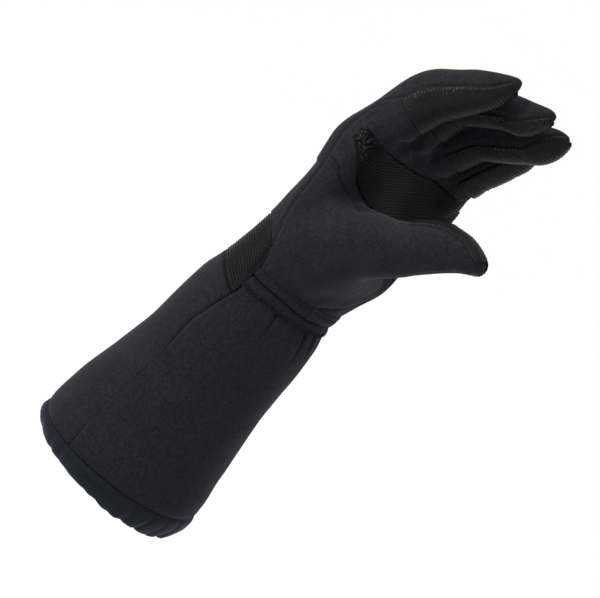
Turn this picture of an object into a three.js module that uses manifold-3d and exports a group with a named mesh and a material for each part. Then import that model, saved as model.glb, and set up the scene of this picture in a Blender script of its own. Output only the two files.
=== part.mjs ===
// Long-gauntlet racing glove for the left hand, in the shape it takes when it is worn.
// Millimetres. +Z runs from the cuff's mouth to the fingers, +X is the way the palm faces,
// and -Y is the thumb side. The origin is the centre of the cuff's mouth.
import * as THREE from "three";
import { mergeVertices } from "three/addons/utils/BufferGeometryUtils.js";
import Module from "manifold-3d";

const wasm = await Module();
wasm.setup();

const { clamp, degToRad, lerp, smoothstep } = THREE.MathUtils;

// Cloth thicknesses, and the gap kept between neighbouring pieces
const WALL = 2.4; // brushed knit with its lining
const GRIP_WALL = 1.1; // ribbed grip cloth laid on the knit
const STRETCH_WALL = 1.8; // ribbed elastic at the back of the wrist
const GAP = 0.3;
const SEAM_GAP = 0.35; // degrees either side of a seam up the arm
const GRIP_GAP = 0.45; // a little more, because the cloth under it is curved

// Heights of the seams that run round the arm
const HEM_TOP = 12.5;
const GAUNTLET_TOP = 130; // under the gathered band
const BAND_TOP = 143.5;

// The stretch patch's two edges, seen along Y: they rise from the side seams to the back
const STRETCH_LOW_EDGE = [
  { x: 40, z: 124 },
  { x: 12.5, z: 124.2 },
  { x: 8.5, z: 125.4 },
  { x: 3.5, z: 127.5 },
  { x: -4.3, z: 130.9 },
  { x: -11.8, z: 133 },
  { x: -60, z: 134.5 },
];
const STRETCH_HIGH_EDGE = [
  { x: 40, z: 154.8 },
  { x: 14.1, z: 155.3 },
  { x: 10.1, z: 158.9 },
  { x: 5.5, z: 162.4 },
  { x: 1.5, z: 164.3 },
  { x: -20, z: 165.8 },
  { x: -60, z: 166 },
];
const SLANT_GAP = 0.42; // straight up, so that a slanted edge keeps the gap

// The two seams that run up the arm, in degrees round it: 0 faces the palm side
const SEAMS = [
  { z: 0, thumb: -82, little: 98 },
  { z: 76, thumb: -82, little: 98 },
  { z: 100, thumb: -85, little: 97 },
  { z: 116, thumb: -79, little: 95 },
  { z: 130, thumb: -73, little: 92 },
  { z: 143, thumb: -75, little: 92 },
  { z: 154, thumb: -84, little: 94 },
  { z: 176, thumb: -97, little: 97 },
  { z: 206, thumb: -98, little: 98 },
  { z: 228, thumb: -110, little: 102 },
  { z: 260, thumb: -116, little: 106 },
];

// Sections of forearm, wrist and palm. x, y: centre. deep, wide: half sizes along X and Y.
// cup, curl: how far the thumb's edge and the little finger's edge turn to the palm side.
// square: 2 is an ellipse, more is squarer.
const ARM = [
  { z: -2, x: 0, y: 0, deep: 44.5, wide: 49.5, cup: 0, curl: 0, square: 2 },
  { z: 18, x: 0.5, y: 0, deep: 47.1, wide: 50.5, cup: 0, curl: 0, square: 2 },
  { z: 36, x: 0.1, y: 0, deep: 44.6, wide: 48.5, cup: 0, curl: 0, square: 2 },
  { z: 60, x: 1.6, y: 0, deep: 40.1, wide: 44.5, cup: 0, curl: 0, square: 2 },
  { z: 84, x: 3.5, y: 0, deep: 37, wide: 41.8, cup: 0, curl: 0, square: 2 },
  { z: 108, x: 4.8, y: 0, deep: 35.4, wide: 40.6, cup: 0, curl: 0, square: 2 },
  { z: 122, x: 5.1, y: 0, deep: 33.7, wide: 39.2, cup: 0, curl: 0, square: 2 },
  { z: 136, x: 6.1, y: 0, deep: 29.4, wide: 37, cup: 0, curl: 0, square: 2 },
  { z: 150, x: 9.4, y: 0, deep: 27.9, wide: 37, cup: 1, curl: 3, square: 2.1 },
  { z: 166, x: 10.9, y: 0.5, deep: 25.9, wide: 39.5, cup: 2, curl: 10, square: 2.2 },
  { z: 186, x: 9, y: 1, deep: 20.5, wide: 42.5, cup: 4, curl: 13, square: 2.35 },
  { z: 206, x: 7.5, y: 1, deep: 17.5, wide: 44, cup: 5, curl: 16, square: 2.45 },
  { z: 222, x: 7.5, y: 0.5, deep: 16, wide: 44.5, cup: 5, curl: 17, square: 2.5 },
  { z: 234, x: 10, y: 0, deep: 13.5, wide: 42.5, cup: 4, curl: 16, square: 2.5 },
  { z: 242, x: 13.5, y: -1, deep: 10.5, wide: 38, cup: 3, curl: 13, square: 2.4 },
  { z: 247, x: 16, y: -2, deep: 5.5, wide: 31, cup: 2, curl: 9, square: 2.2 },
];

// Gathers of the gauntlet below the wrist band: degrees round the arm, depth, width in degrees
const GATHERS = [
  { angle: -66, depth: 1.2, width: 6 },
  { angle: -46, depth: 2.2, width: 6 },
  { angle: -27, depth: 1.6, width: 6 },
  { angle: -8, depth: 2.6, width: 6 },
  { angle: 12, depth: 2.8, width: 6 },
  { angle: 32, depth: 2.2, width: 6 },
  { angle: 54, depth: 1.6, width: 6 },
  { angle: 76, depth: 1.2, width: 6 },
];
const GATHER_LENGTH = 30; // how far down from the band a gather fades out
const SEAM_DIP = 1.1; // how far the cloth turns in at the seams up the arm
const SEAM_DIP_ANGLE = 7;

// The elastic casing round the wrist
const BAND_PUFF = 1.6;
const BAND_FOLD_DEPTH = 1.4; // the crease round the middle of the gathered band
const BAND_PLEATS = 10;
const BAND_PLEAT_DEPTH = 0.9;

// The turned hem, drawn in by its elastic
const HEM_SWELL = 0.8;
const HEM_WALL = 2.8;
const HEM_DRAWN_IN = 2.5;
const HEM_PUCKERS = 18;
const PUCKER_DEPTH = 0.8;
const MOUTH_TILT = 9; // how much higher the mouth's edge is at the back than at the palm side
const MOUTH_LOW_SIDE = 40; // degrees round the arm

// Fingers. x, y, z: knuckle. splay: degrees towards the little finger. grip: degrees round the
// finger where its grip cloth begins and ends. gripFrom: how far above the knuckle it starts.
// tip: length of the tapered fingertip. rise: how far its end lies towards the nail. Then the
// length, the bend in degrees at its start, and the outer radius at its end, of each phalanx.
const FINGERS = [
  {
    name: "index", x: 8.7, y: -31.2, z: 221, splay: 3, root: 12.8,
    grip: [-90, 60], gripFrom: 30, tip: 20.5, rise: 7,
    phalanges: [
      { length: 43, bend: 21, radius: 12.3 },
      { length: 25, bend: 25, radius: 9.9 },
      { length: 19.9, bend: 18, radius: 8.4 },
    ],
  },
  {
    name: "middle", x: 7.7, y: -9.5, z: 225.3, splay: 1, root: 12.1,
    grip: [-60, 60], gripFrom: 28, tip: 16.5, rise: 6.8,
    phalanges: [
      { length: 46, bend: 24.5, radius: 9.9 },
      { length: 27, bend: 37.5, radius: 8.8 },
      { length: 21.9, bend: 17, radius: 8.7 },
    ],
  },
  {
    name: "ring", x: 9.4, y: 12.5, z: 221.9, splay: -1, root: 11.8,
    grip: [-60, 60], gripFrom: 28, tip: 15.2, rise: 2.7,
    phalanges: [
      { length: 44, bend: 33, radius: 10.1 },
      { length: 26.5, bend: 26, radius: 9.3 },
      { length: 21.6, bend: 0, radius: 8.2 },
    ],
  },
  {
    name: "little", x: 17.1, y: 33.5, z: 212.1, splay: -3, root: 11.6,
    grip: [-60, 90], gripFrom: 26, tip: 13.4, rise: 0.2,
    phalanges: [
      { length: 34, bend: 21.5, radius: 10.3 },
      { length: 19, bend: 9, radius: 10.4 },
      { length: 18.7, bend: 1.5, radius: 8.4 },
    ],
  },
];
const FINGER_ROOT = -20; // the finger's loft starts inside the palm, below the knuckle
const ROOT_TAPER = 0.8;
const FINGER_BASE = 21; // the web between the fingers, above the knuckle
const FINGER_SLIM = 0.92; // a finger is narrower than it is thick
const JOINT_BEND = 16; // length of finger over which a joint bends
const TIP_ROUND = 0.58; // the power of the fingertip's curve: 0.5 is an ellipse
const TIP_SHARES = [0, 0.4, 0.7, 0.9, 0.99]; // sections of the fingertip
const FINGER_SIDES = 12;

// Thumb. x, y, z: centre of a section. high: half size in the XZ plane. broad: half size along Y.
const THUMB = [
  { at: 0, x: 12.5, y: -14, z: 148, high: 18, broad: 18 },
  { at: 1, x: 19, y: -20.5, z: 165, high: 25, broad: 19.5 },
  { at: 2, x: 38.5, y: -23.5, z: 182.6, high: 20.9, broad: 17.5 },
  { at: 3, x: 63.5, y: -26, z: 196.4, high: 13.9, broad: 14.5 },
  { at: 4, x: 80.5, y: -27, z: 209.4, high: 12.1, broad: 12.3 },
  { at: 5, x: 91, y: -26.5, z: 215.1, high: 9.8, broad: 10.6 },
  { at: 5.7, x: 101.8, y: -26, z: 217.1, high: 5.6, broad: 7.2 },
  { at: 6, x: 106.9, y: -26, z: 217.3, high: 2.2, broad: 3 },
];
const THUMB_SIDES = 18;
const THUMB_SECTIONS = [0, 0.6, 1.2, 1.8, 2.4, 3, 3.6, 4.2, 4.8, 5.4, 5.75, 6];
const THUMB_GRIP = { sections: [3, 3.6, 4.2, 4.8, 5.4, 5.75], start: -60, end: 140 };

// Outline of the thumb's panel, seen along X. Its lower right edge is the fold across the palm.
const THUMB_PANEL = [
  { y: -70, z: 140 },
  { y: -9, z: 140 },
  { y: -3.5, z: 144.7 },
  { y: 4, z: 146.6 },
  { y: 12, z: 150.5 },
  { y: 22, z: 156.6 },
  { y: 28.5, z: 161 },
  { y: 31.3, z: 169.7 },
  { y: 31, z: 176 },
  { y: 18, z: 176.5 },
  { y: 3, z: 180.5 },
  { y: -7, z: 189.5 },
  { y: -16, z: 196.8 },
  { y: -27, z: 199 },
  { y: -33, z: 199.6 },
  { y: -39.3, z: 202 },
  { y: -43, z: 207.4 },
  { y: -48, z: 211 },
  { y: -70, z: 214 },
];

// Outline of the palm's grip patch, seen along X
const PALM_PATCH = [
  { y: -48, z: 231 },
  { y: -20, z: 227 },
  { y: 2, z: 226.5 },
  { y: 12, z: 228 },
  { y: 24, z: 227.5 },
  { y: 34, z: 226.5 },
  { y: 43, z: 222 },
  { y: 46, z: 214 },
  { y: 44, z: 202 },
  { y: 35, z: 188 },
  { y: 18, z: 180 },
  { y: 4, z: 184 },
  { y: -4, z: 193 },
  { y: -15, z: 200.5 },
  { y: -27, z: 203.5 },
  { y: -36, z: 210 },
  { y: -46, z: 221 },
];

// Every column of a table, smoothly interpolated at position t of its key column
function rowAt(table, key, t) {
  const last = table.length - 1;
  const above = table.findIndex((row) => row[key] > t);
  const i = above < 0 ? last - 1 : Math.max(above - 1, 0);
  const [a, b] = [table[i], table[i + 1]];
  const [before, after] = [table[Math.max(i - 1, 0)], table[Math.min(i + 2, last)]];
  const span = b[key] - a[key];
  const u = clamp((t - a[key]) / span, 0, 1);
  const row = {};
  for (const column of Object.keys(a)) {
    const slopeA = ((b[column] - before[column]) / (b[key] - before[key])) * span;
    const slopeB = ((after[column] - a[column]) / (after[key] - a[key])) * span;
    row[column] =
      a[column] * (1 + 2 * u) * (1 - u) ** 2 +
      slopeA * u * (1 - u) ** 2 +
      b[column] * u * u * (3 - 2 * u) -
      slopeB * u * u * (1 - u);
  }
  return row;
}

// A point of the arm and palm surface, moved out by outset. degrees: 0 faces the palm side.
function armPoint(degrees, z, outset = 0) {
  const s = rowAt(ARM, "z", z);
  const angle = degToRad(degrees);
  const [along, across] = [Math.cos(angle), Math.sin(angle)];
  const power = 2 / s.square;
  const x = Math.sign(along) * Math.abs(along) ** power;
  const y = Math.sign(across) * Math.abs(across) ** power;
  return new THREE.Vector3(
    s.x + (s.deep + outset) * x + (y < 0 ? s.cup : s.curl) * y * y,
    s.y + (s.wide + outset) * y,
    z,
  );
}

// How far a bell of the given width reaches at a distance from its middle, from 0 to 1
const bell = (distance, width) => Math.exp(-((distance / width) ** 2));

const seamAt = (side, z) => rowAt(SEAMS, "z", z)[side];

// How far the gathers and the seams draw the gauntlet in
function gauntletDip(degrees, z) {
  const share = smoothstep(z, GAUNTLET_TOP - GATHER_LENGTH, GAUNTLET_TOP);
  const gathers = GATHERS.reduce((sum, g) => sum + g.depth * bell(degrees - g.angle, g.width), 0);
  const [thumb, little] = [seamAt("thumb", z), seamAt("little", z)];
  const seams = [thumb, little, thumb + 360].reduce(
    (sum, seam) => sum + SEAM_DIP * bell(degrees - seam, SEAM_DIP_ANGLE),
    0,
  );
  return share * gathers + seams;
}

// A closed solid's geometry through rings of points, with a fan over each end
function loftGeometry(rings) {
  const count = rings[0].length;
  const points = rings.flat();
  const triangles = [];
  for (let r = 0; r + 1 < rings.length; r++)
    for (let i = 0; i < count; i++) {
      const [a, b] = [r * count + i, r * count + ((i + 1) % count)];
      triangles.push(a, b, b + count, a, b + count, a + count);
    }
  const centre = (ring) =>
    ring.reduce((sum, p) => sum.add(p), new THREE.Vector3()).divideScalar(count);
  const [foot, head] = [points.length, points.length + 1];
  points.push(centre(rings[0]), centre(rings.at(-1)));
  const top = (rings.length - 1) * count;
  for (let i = 0; i < count; i++) {
    const next = (i + 1) % count;
    triangles.push(foot, next, i, head, top + i, top + next);
  }
  return new THREE.BufferGeometry().setFromPoints(points).setIndex(triangles);
}

// A closed solid's geometry between an outer and an inner grid of points: an open panel of cloth
function panelGeometry(rows, columns, outside, inside) {
  const points = [];
  for (const face of [outside, inside])
    for (let r = 0; r <= rows; r++)
      for (let c = 0; c <= columns; c++) points.push(face(r / rows, c / columns));
  const at = (side, r, c) => (side * (rows + 1) + r) * (columns + 1) + c;
  const triangles = [];
  const quad = (a, b, c, d) => triangles.push(a, b, c, a, c, d);
  for (let r = 0; r < rows; r++)
    for (let c = 0; c < columns; c++) {
      quad(at(0, r, c), at(0, r, c + 1), at(0, r + 1, c + 1), at(0, r + 1, c));
      quad(at(1, r, c), at(1, r + 1, c), at(1, r + 1, c + 1), at(1, r, c + 1));
    }
  for (let c = 0; c < columns; c++) {
    quad(at(0, 0, c), at(1, 0, c), at(1, 0, c + 1), at(0, 0, c + 1));
    quad(at(0, rows, c), at(0, rows, c + 1), at(1, rows, c + 1), at(1, rows, c));
  }
  for (let r = 0; r < rows; r++) {
    quad(at(0, r, 0), at(0, r + 1, 0), at(1, r + 1, 0), at(1, r, 0));
    quad(at(0, r, columns), at(1, r, columns), at(1, r + 1, columns), at(0, r + 1, columns));
  }
  return new THREE.BufferGeometry().setFromPoints(points).setIndex(triangles);
}

// A closed ring's geometry from a closed profile of points at every angle round the arm
function ringGeometry(columns, profileAt) {
  const profiles = Array.from({ length: columns }, (_, c) => profileAt((c / columns) * 360));
  const count = profiles[0].length;
  const triangles = [];
  for (let c = 0; c < columns; c++)
    for (let i = 0; i < count; i++) {
      const next = (i + 1) % count;
      const [a, b] = [c * count, ((c + 1) % columns) * count];
      triangles.push(a + i, b + i, b + next, a + i, b + next, a + next);
    }
  return new THREE.BufferGeometry().setFromPoints(profiles.flat()).setIndex(triangles);
}

// A closed geometry as a manifold-3d solid that faces out
function solidOf(geometry) {
  const merged = mergeVertices(geometry, 1e-4);
  const triVerts = new Uint32Array(merged.index.array);
  const vertProperties = merged.attributes.position.array;
  const solid = new wasm.Manifold(new wasm.Mesh({ numProp: 3, vertProperties, triVerts }));
  if (solid.volume() > 0) return solid;
  for (let i = 0; i < triVerts.length; i += 3)
    [triVerts[i + 1], triVerts[i + 2]] = [triVerts[i + 2], triVerts[i + 1]];
  return new wasm.Manifold(new wasm.Mesh({ numProp: 3, vertProperties, triVerts }));
}

const unionOf = (solids) => solids.reduce((a, b) => a.add(b));

// A prism that cuts with a drawn outline: u and v are its axes, and it runs along the third
function prism(outline, place) {
  const shape = new THREE.Shape(outline.map(([u, v]) => new THREE.Vector2(u, v)));
  const geometry = new THREE.ExtrudeGeometry(shape, { depth: 400, bevelEnabled: false });
  geometry.translate(0, 0, -200).deleteAttribute("normal").deleteAttribute("uv");
  const { position } = geometry.attributes;
  for (let i = 0; i < position.count; i++)
    position.setXYZ(i, ...place(position.getX(i), position.getY(i), position.getZ(i)));
  return solidOf(geometry);
}

const glove = new THREE.Group();

// Adds a piece to the glove: the largest body of its solid, without slivers that a cut leaves
function addPiece(name, solid, material) {
  const body = solid.decompose().reduce((a, b) => (b.volume() > a.volume() ? b : a));
  const { numProp, numVert, vertProperties, triVerts } = body.getMesh();
  const positions = new Float32Array(numVert * 3);
  for (let i = 0; i < numVert; i++)
    positions.set(vertProperties.subarray(i * numProp, i * numProp + 3), i * 3);
  const geometry = new THREE.BufferGeometry();
  geometry.setAttribute("position", new THREE.BufferAttribute(positions, 3));
  geometry.setIndex(new THREE.BufferAttribute(triVerts, 1));
  geometry.computeVertexNormals();
  const mesh = new THREE.Mesh(geometry, material.clone());
  mesh.name = name;
  glove.add(mesh);
}

const knit = new THREE.MeshStandardMaterial({ color: 0x25262b, roughness: 0.95 });
const hemKnit = new THREE.MeshStandardMaterial({ color: 0x1d212b, roughness: 0.95 });
const gripCloth = new THREE.MeshStandardMaterial({ color: 0x171716, roughness: 0.55 });
const elastic = new THREE.MeshStandardMaterial({ color: 0x1c1c1a, roughness: 0.5 });

// Fingers: each is walked from its knuckle, and turns at its joints
const fingerLength = (f) => f.phalanges.reduce((sum, p) => sum + p.length, 0);

// The finger's direction, its little-finger side and its grip side, at a distance
function fingerFrame(f, distance) {
  let bend = 0;
  let joint = 0;
  for (const p of f.phalanges) {
    bend += p.bend * smoothstep(distance, joint - JOINT_BEND / 2, joint + JOINT_BEND / 2);
    joint += p.length;
  }
  const [turn, splay] = [degToRad(bend), degToRad(f.splay)];
  const side = new THREE.Vector3(0, Math.cos(splay), -Math.sin(splay));
  const along = new THREE.Vector3(
    Math.sin(turn),
    Math.cos(turn) * Math.sin(splay),
    Math.cos(turn) * Math.cos(splay),
  );
  return { along, side, palm: side.clone().cross(along) };
}

function fingerCentre(f, distance) {
  const centre = new THREE.Vector3(f.x, f.y, f.z);
  const steps = Math.max(Math.ceil(Math.abs(distance)), 1);
  for (let i = 0; i < steps; i++)
    centre.addScaledVector(fingerFrame(f, ((i + 0.5) * distance) / steps).along, distance / steps);
  return centre;
}

function fingerRadius(f, distance) {
  const table = [{ s: FINGER_ROOT, r: f.root * ROOT_TAPER }, { s: 0, r: f.root }];
  let joint = 0;
  for (const p of f.phalanges) table.push({ s: (joint += p.length), r: p.radius });
  return rowAt(table, "s", distance).r;
}

// Where the finger's tapered tip starts, and how long it is
const fingerTip = (f, outset) => ({ start: fingerLength(f) - f.tip, length: f.tip + outset });

// A point of a finger's surface. degrees: 0 faces the grip side.
function fingerPoint(f, distance, degrees, outset) {
  const tip = fingerTip(f, outset);
  const intoTip = clamp((distance - tip.start) / tip.length, 0, 1);
  const radius = (fingerRadius(f, distance) + outset) * (1 - intoTip ** 2) ** TIP_ROUND;
  const rise = f.rise * clamp((distance - tip.start) / f.tip, 0, 1) ** 2;
  const { side, palm } = fingerFrame(f, distance);
  return fingerCentre(f, distance)
    .addScaledVector(palm, radius * Math.cos(degToRad(degrees)) - rise)
    .addScaledVector(side, radius * FINGER_SLIM * Math.sin(degToRad(degrees)));
}

// Distances of the finger's sections, the same for its cloth and for its grip
function fingerStations(f, outset) {
  const tip = fingerTip(f, outset);
  const count = Math.round((tip.start - FINGER_BASE) / 8);
  const root = [0, 0.5].map((share) => lerp(FINGER_ROOT, FINGER_BASE, share));
  const straight = Array.from({ length: count }, (_, i) =>
    lerp(FINGER_BASE, tip.start, i / count),
  );
  return [...root, ...straight, ...TIP_SHARES.map((share) => tip.start + share * tip.length)];
}

function fingerSolid(f, outset, from = FINGER_ROOT, sides = FINGER_SIDES) {
  const above = fingerStations(f, outset).filter((distance) => distance > from);
  const ring = (distance) =>
    Array.from({ length: sides }, (_, i) => fingerPoint(f, distance, (i / sides) * 360, outset));
  return solidOf(loftGeometry([from, ...above].map(ring)));
}

// A point of the thumb's surface, at a place counted along its table
function thumbPoint(at, degrees, outset) {
  const s = rowAt(THUMB, "at", at);
  const [ahead, behind] = [rowAt(THUMB, "at", at + 0.05), rowAt(THUMB, "at", at - 0.05)];
  const along = new THREE.Vector3(ahead.x - behind.x, 0, ahead.z - behind.z).normalize();
  const up = new THREE.Vector3(-along.z, 0, along.x);
  const angle = degToRad(degrees);
  return new THREE.Vector3(s.x, s.y, s.z)
    .addScaledVector(up, (s.high + outset) * Math.cos(angle))
    .add(new THREE.Vector3(0, (s.broad + outset) * Math.sin(angle), 0));
}

function thumbSolid(outset, sides = THUMB_SIDES) {
  const reach = 1 + outset / 80; // a thicker thumb is longer too
  const rings = THUMB_SECTIONS.map((at) =>
    Array.from({ length: sides }, (_, k) => thumbPoint(at * reach, (k / sides) * 360, outset)),
  );
  return solidOf(loftGeometry(rings));
}

// Hand: palm, fingers and thumb as one hollow shell, which is then parted along its seams
const PALM_TOP = ARM.at(-1).z;
const PALM_ROWS = 10;
const PALM_SIDES = 28;
const palmLevel = (i) => lerp(BAND_TOP + GAP, PALM_TOP, i / PALM_ROWS);

function palmSolid(outset, levels, sides) {
  const rings = levels.map((z) =>
    Array.from({ length: sides }, (_, k) => armPoint((k / sides) * 360, z, outset)),
  );
  return solidOf(loftGeometry(rings));
}

const palmLevels = Array.from({ length: PALM_ROWS + 1 }, (_, i) => palmLevel(i));
const innerLevels = [BAND_TOP - 6, ...palmLevels.slice(1, -1), PALM_TOP - WALL];
const hollow = unionOf([
  palmSolid(-WALL, innerLevels, 22),
  thumbSolid(-WALL, 14),
  ...FINGERS.map((f) => fingerSolid(f, -WALL, FINGER_ROOT, 10)),
]);
const shell = unionOf([
  palmSolid(0, palmLevels, PALM_SIDES),
  thumbSolid(0),
  ...FINGERS.map((f) => fingerSolid(f, 0)),
]).subtract(hollow);

// Each finger gives way by the gap to the fingers before it
FINGERS.forEach((f, i) => {
  const others = FINGERS.filter((_, k) => k < i).map((g) => fingerSolid(g, GAP));
  const own = fingerSolid(f, 0, FINGER_BASE).subtract(hollow);
  addPiece(`${f.name}_finger`, others.length ? own.subtract(unionOf(others)) : own, knit);
});

// The rest of the shell
const alongY = (u, v, depth) => [u, depth, v];
const alongX = (u, v, depth) => [depth, u, v];
const everythingAbove = (z) => prism([[-200, z], [200, z], [200, 400], [-200, 400]], alongY);
const body = shell
  .intersect(everythingAbove(BAND_TOP + GAP))
  .subtract(unionOf(FINGERS.map((f) => fingerSolid(f, 2, FINGER_BASE - GAP))));

// Everything on the back's side of the two seams, moved out at each seam by a few degrees
function backSide(move) {
  const levels = [BAND_TOP, 147, 150.5, 154, 161, 168, 178, 192, 206, 218, 230, 245, 275];
  const rings = levels.map((z) => {
    const s = rowAt(ARM, "z", z);
    const centre = new THREE.Vector3(s.x, s.y, z);
    const [start, end] = [seamAt("little", z) - move, seamAt("thumb", z) + 360 + move];
    const rim = Array.from({ length: 13 }, (_, i) =>
      armPoint(lerp(start, end, i / 12), z).sub(centre).multiplyScalar(3).add(centre),
    );
    return [centre, ...rim];
  });
  return solidOf(loftGeometry(rings));
}

// Everything on one side of an edge of the stretch patch, up or down to height z
const besideEdge = (edge, move, z) =>
  prism([...edge.map((p) => [p.x, p.z + move]), [-60, z], [40, z]], alongY);
const aboveStretch = besideEdge(STRETCH_HIGH_EDGE, SLANT_GAP, 400);
addPiece("hand_back", body.intersect(backSide(0)).intersect(aboveStretch), knit);

const front = body.subtract(backSide(SEAM_GAP * 2));
const thumbOutline = THUMB_PANEL.map((p) => [p.y, p.z]);
const thumbOutlineGrown = new wasm.CrossSection([thumbOutline])
  .offset(GAP, "Miter")
  .toPolygons()[0];
const pastPalm = prism([[33.5, 100], [200, 100], [200, 400], [33.5, 400]], alongY);
const thumbRegion = prism(thumbOutline, alongX).add(thumbSolid(0.5).intersect(pastPalm));
const thumbRegionGrown = prism(thumbOutlineGrown, alongX).add(
  thumbSolid(0.5 + GAP).intersect(pastPalm),
);
addPiece("thumb", front.intersect(thumbRegion), knit);
addPiece("hand_palm", front.subtract(thumbRegionGrown), knit);

// A panel that follows the arm between two seams, with rows at the given levels
function armPanel({ levels, columns, span, outset, wall }) {
  const rows = levels.length - 1;
  const face = (depth) => (r, c) => {
    const z = levels[Math.round(r * rows)];
    const degrees = lerp(...span(z), c);
    return armPoint(degrees, z, outset(degrees, z) - depth);
  };
  return solidOf(panelGeometry(rows, columns, face(0), face(wall)));
}
const frontSpan = (z) => [seamAt("thumb", z) + SEAM_GAP, seamAt("little", z) - SEAM_GAP];
const backSpan = (z) => [seamAt("little", z) + SEAM_GAP, seamAt("thumb", z) + 360 - SEAM_GAP];

const GAUNTLET_LEVELS = [HEM_TOP + GAP, 30, 48, 66, 84, 98, 108, 117, 124.7];
const STRETCH_LEVELS = [122, 128, 134, 139, BAND_TOP, 147, 150.5, 155, 161, 168];
const gauntletOutset = (degrees, z) => -gauntletDip(degrees, z);

// Gauntlet: two panels that meet at the seams up the arm
addPiece(
  "gauntlet_front",
  armPanel({
    levels: [...GAUNTLET_LEVELS, GAUNTLET_TOP],
    columns: 30, span: frontSpan, outset: gauntletOutset, wall: WALL,
  }),
  knit,
);
addPiece(
  "gauntlet_back",
  armPanel({
    levels: [...GAUNTLET_LEVELS, 130, 137],
    columns: 18, span: backSpan, outset: gauntletOutset, wall: WALL,
  }).intersect(besideEdge(STRETCH_LOW_EDGE, -SLANT_GAP, -50)),
  knit,
);
addPiece(
  "wrist_stretch_panel",
  armPanel({
    levels: STRETCH_LEVELS, columns: 14, span: backSpan, outset: () => 0, wall: STRETCH_WALL,
  })
    .subtract(besideEdge(STRETCH_LOW_EDGE, 0, -50))
    .subtract(besideEdge(STRETCH_HIGH_EDGE, 0, 400)),
  elastic,
);

// The gathered casing: two soft rolls with a crease between them, pleated all round
const BAND_ROWS = 6;
const bandBottom = GAUNTLET_TOP + GAP;
const bandLevels = Array.from({ length: BAND_ROWS + 1 }, (_, i) =>
  lerp(bandBottom, BAND_TOP, i / BAND_ROWS),
);
addPiece(
  "wrist_band",
  armPanel({
    levels: bandLevels, columns: BAND_PLEATS * 3, span: frontSpan,
    outset: (degrees, z) => {
      const share = (z - bandBottom) / (BAND_TOP - bandBottom);
      const roll = BAND_PUFF * Math.abs(Math.sin(share * 2 * Math.PI));
      const [start, end] = frontSpan(z);
      const pleat = Math.cos(((degrees - start) / (end - start)) * BAND_PLEATS * 2 * Math.PI);
      return roll - BAND_FOLD_DEPTH * bell(share - 0.5, 0.12) - BAND_PLEAT_DEPTH * pleat;
    },
    wall: WALL,
  }),
  knit,
);

// Hem: a soft turned edge, puckered by the elastic inside it
addPiece(
  "hem_band",
  solidOf(
    ringGeometry(HEM_PUCKERS * 3, (degrees) => {
      const pucker = PUCKER_DEPTH * Math.cos(degToRad(degrees * HEM_PUCKERS));
      const edge = (-MOUTH_TILT / 2) * Math.cos(degToRad(degrees - MOUTH_LOW_SIDE));
      const profile = [
        { out: 0, up: 1 },
        { out: HEM_SWELL, up: 0.6 },
        { out: HEM_SWELL - HEM_DRAWN_IN / 2, up: 0.2 },
        { out: -HEM_DRAWN_IN, up: 0 },
        { out: -HEM_WALL - HEM_DRAWN_IN, up: 0.1 },
        { out: -HEM_WALL, up: 1 },
      ];
      return profile.map(({ out, up }) => {
        const loose = (1 - up) * pucker;
        return armPoint(degrees, lerp(edge, HEM_TOP, up) + loose / 2, out + loose);
      });
    }),
  ),
  hemKnit,
);

// Grips: ribbed cloth over the gripping side of the fingers, the thumb and the palm
FINGERS.forEach((f, i) => {
  const above = fingerStations(f, 0).filter((distance) => distance > f.gripFrom + 2);
  const stations = [f.gripFrom, ...above];
  const rows = stations.length - 2; // it ends just short of the fingertip's end
  const [start, end] = f.grip;
  const face = (outset) => (r, c) =>
    fingerPoint(f, stations[Math.round(r * rows)], lerp(start, end, c), outset);
  const columns = (end - start) / (360 / FINGER_SIDES);
  const strip = panelGeometry(rows, columns, face(GRIP_GAP + GRIP_WALL), face(GRIP_GAP));
  const neighbours = FINGERS.filter((_, k) => Math.abs(k - i) === 1).map((g) => fingerSolid(g, GAP));
  addPiece(`${f.name}_grip`, solidOf(strip).subtract(unionOf(neighbours)), gripCloth);
});

const gripRows = THUMB_GRIP.sections.length - 1;
const thumbStrip = (outset) => (r, c) =>
  thumbPoint(
    THUMB_GRIP.sections[Math.round(r * gripRows)],
    lerp(THUMB_GRIP.start, THUMB_GRIP.end, c),
    outset,
  );
const thumbGrip = panelGeometry(
  gripRows, 10, thumbStrip(GRIP_GAP + GRIP_WALL), thumbStrip(GRIP_GAP),
);
addPiece("thumb_grip", solidOf(thumbGrip), gripCloth);

const palmAndFingers = (outset) =>
  unionOf([palmSolid(outset, palmLevels, PALM_SIDES), ...FINGERS.map((f) => fingerSolid(f, outset))]);
const patchOutline = PALM_PATCH.map((p) => [p.y, p.z]);
addPiece(
  "palm_grip",
  palmAndFingers(GRIP_GAP + GRIP_WALL)
    .subtract(palmAndFingers(GRIP_GAP))
    .intersect(prism(patchOutline, alongX))
    .subtract(thumbSolid(GAP))
    .subtract(backSide(SEAM_GAP * 2)),
  gripCloth,
);

export default glove;
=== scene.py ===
# %% [markdown]
# # A long-gauntlet racing glove, in cloth
#
# The frame that is loaded here is the glove as plain solids: a hem, two gauntlet panels, a
# gathered wrist band, a stretch patch, the hand, the thumb, four fingers and their grips. This
# lesson dresses each of them in cloth. Everything is measured in millimetres while it is worked
# out, and becomes metres when a mesh is made. +Z runs from the cuff's mouth to the fingers, +X
# is the way the palm faces, and -Y is the thumb side.

import bmesh
import bpy
import numpy as np
from mathutils import Matrix, Vector, noise
from mathutils.bvhtree import BVHTree
from mathutils.kdtree import KDTree


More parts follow.
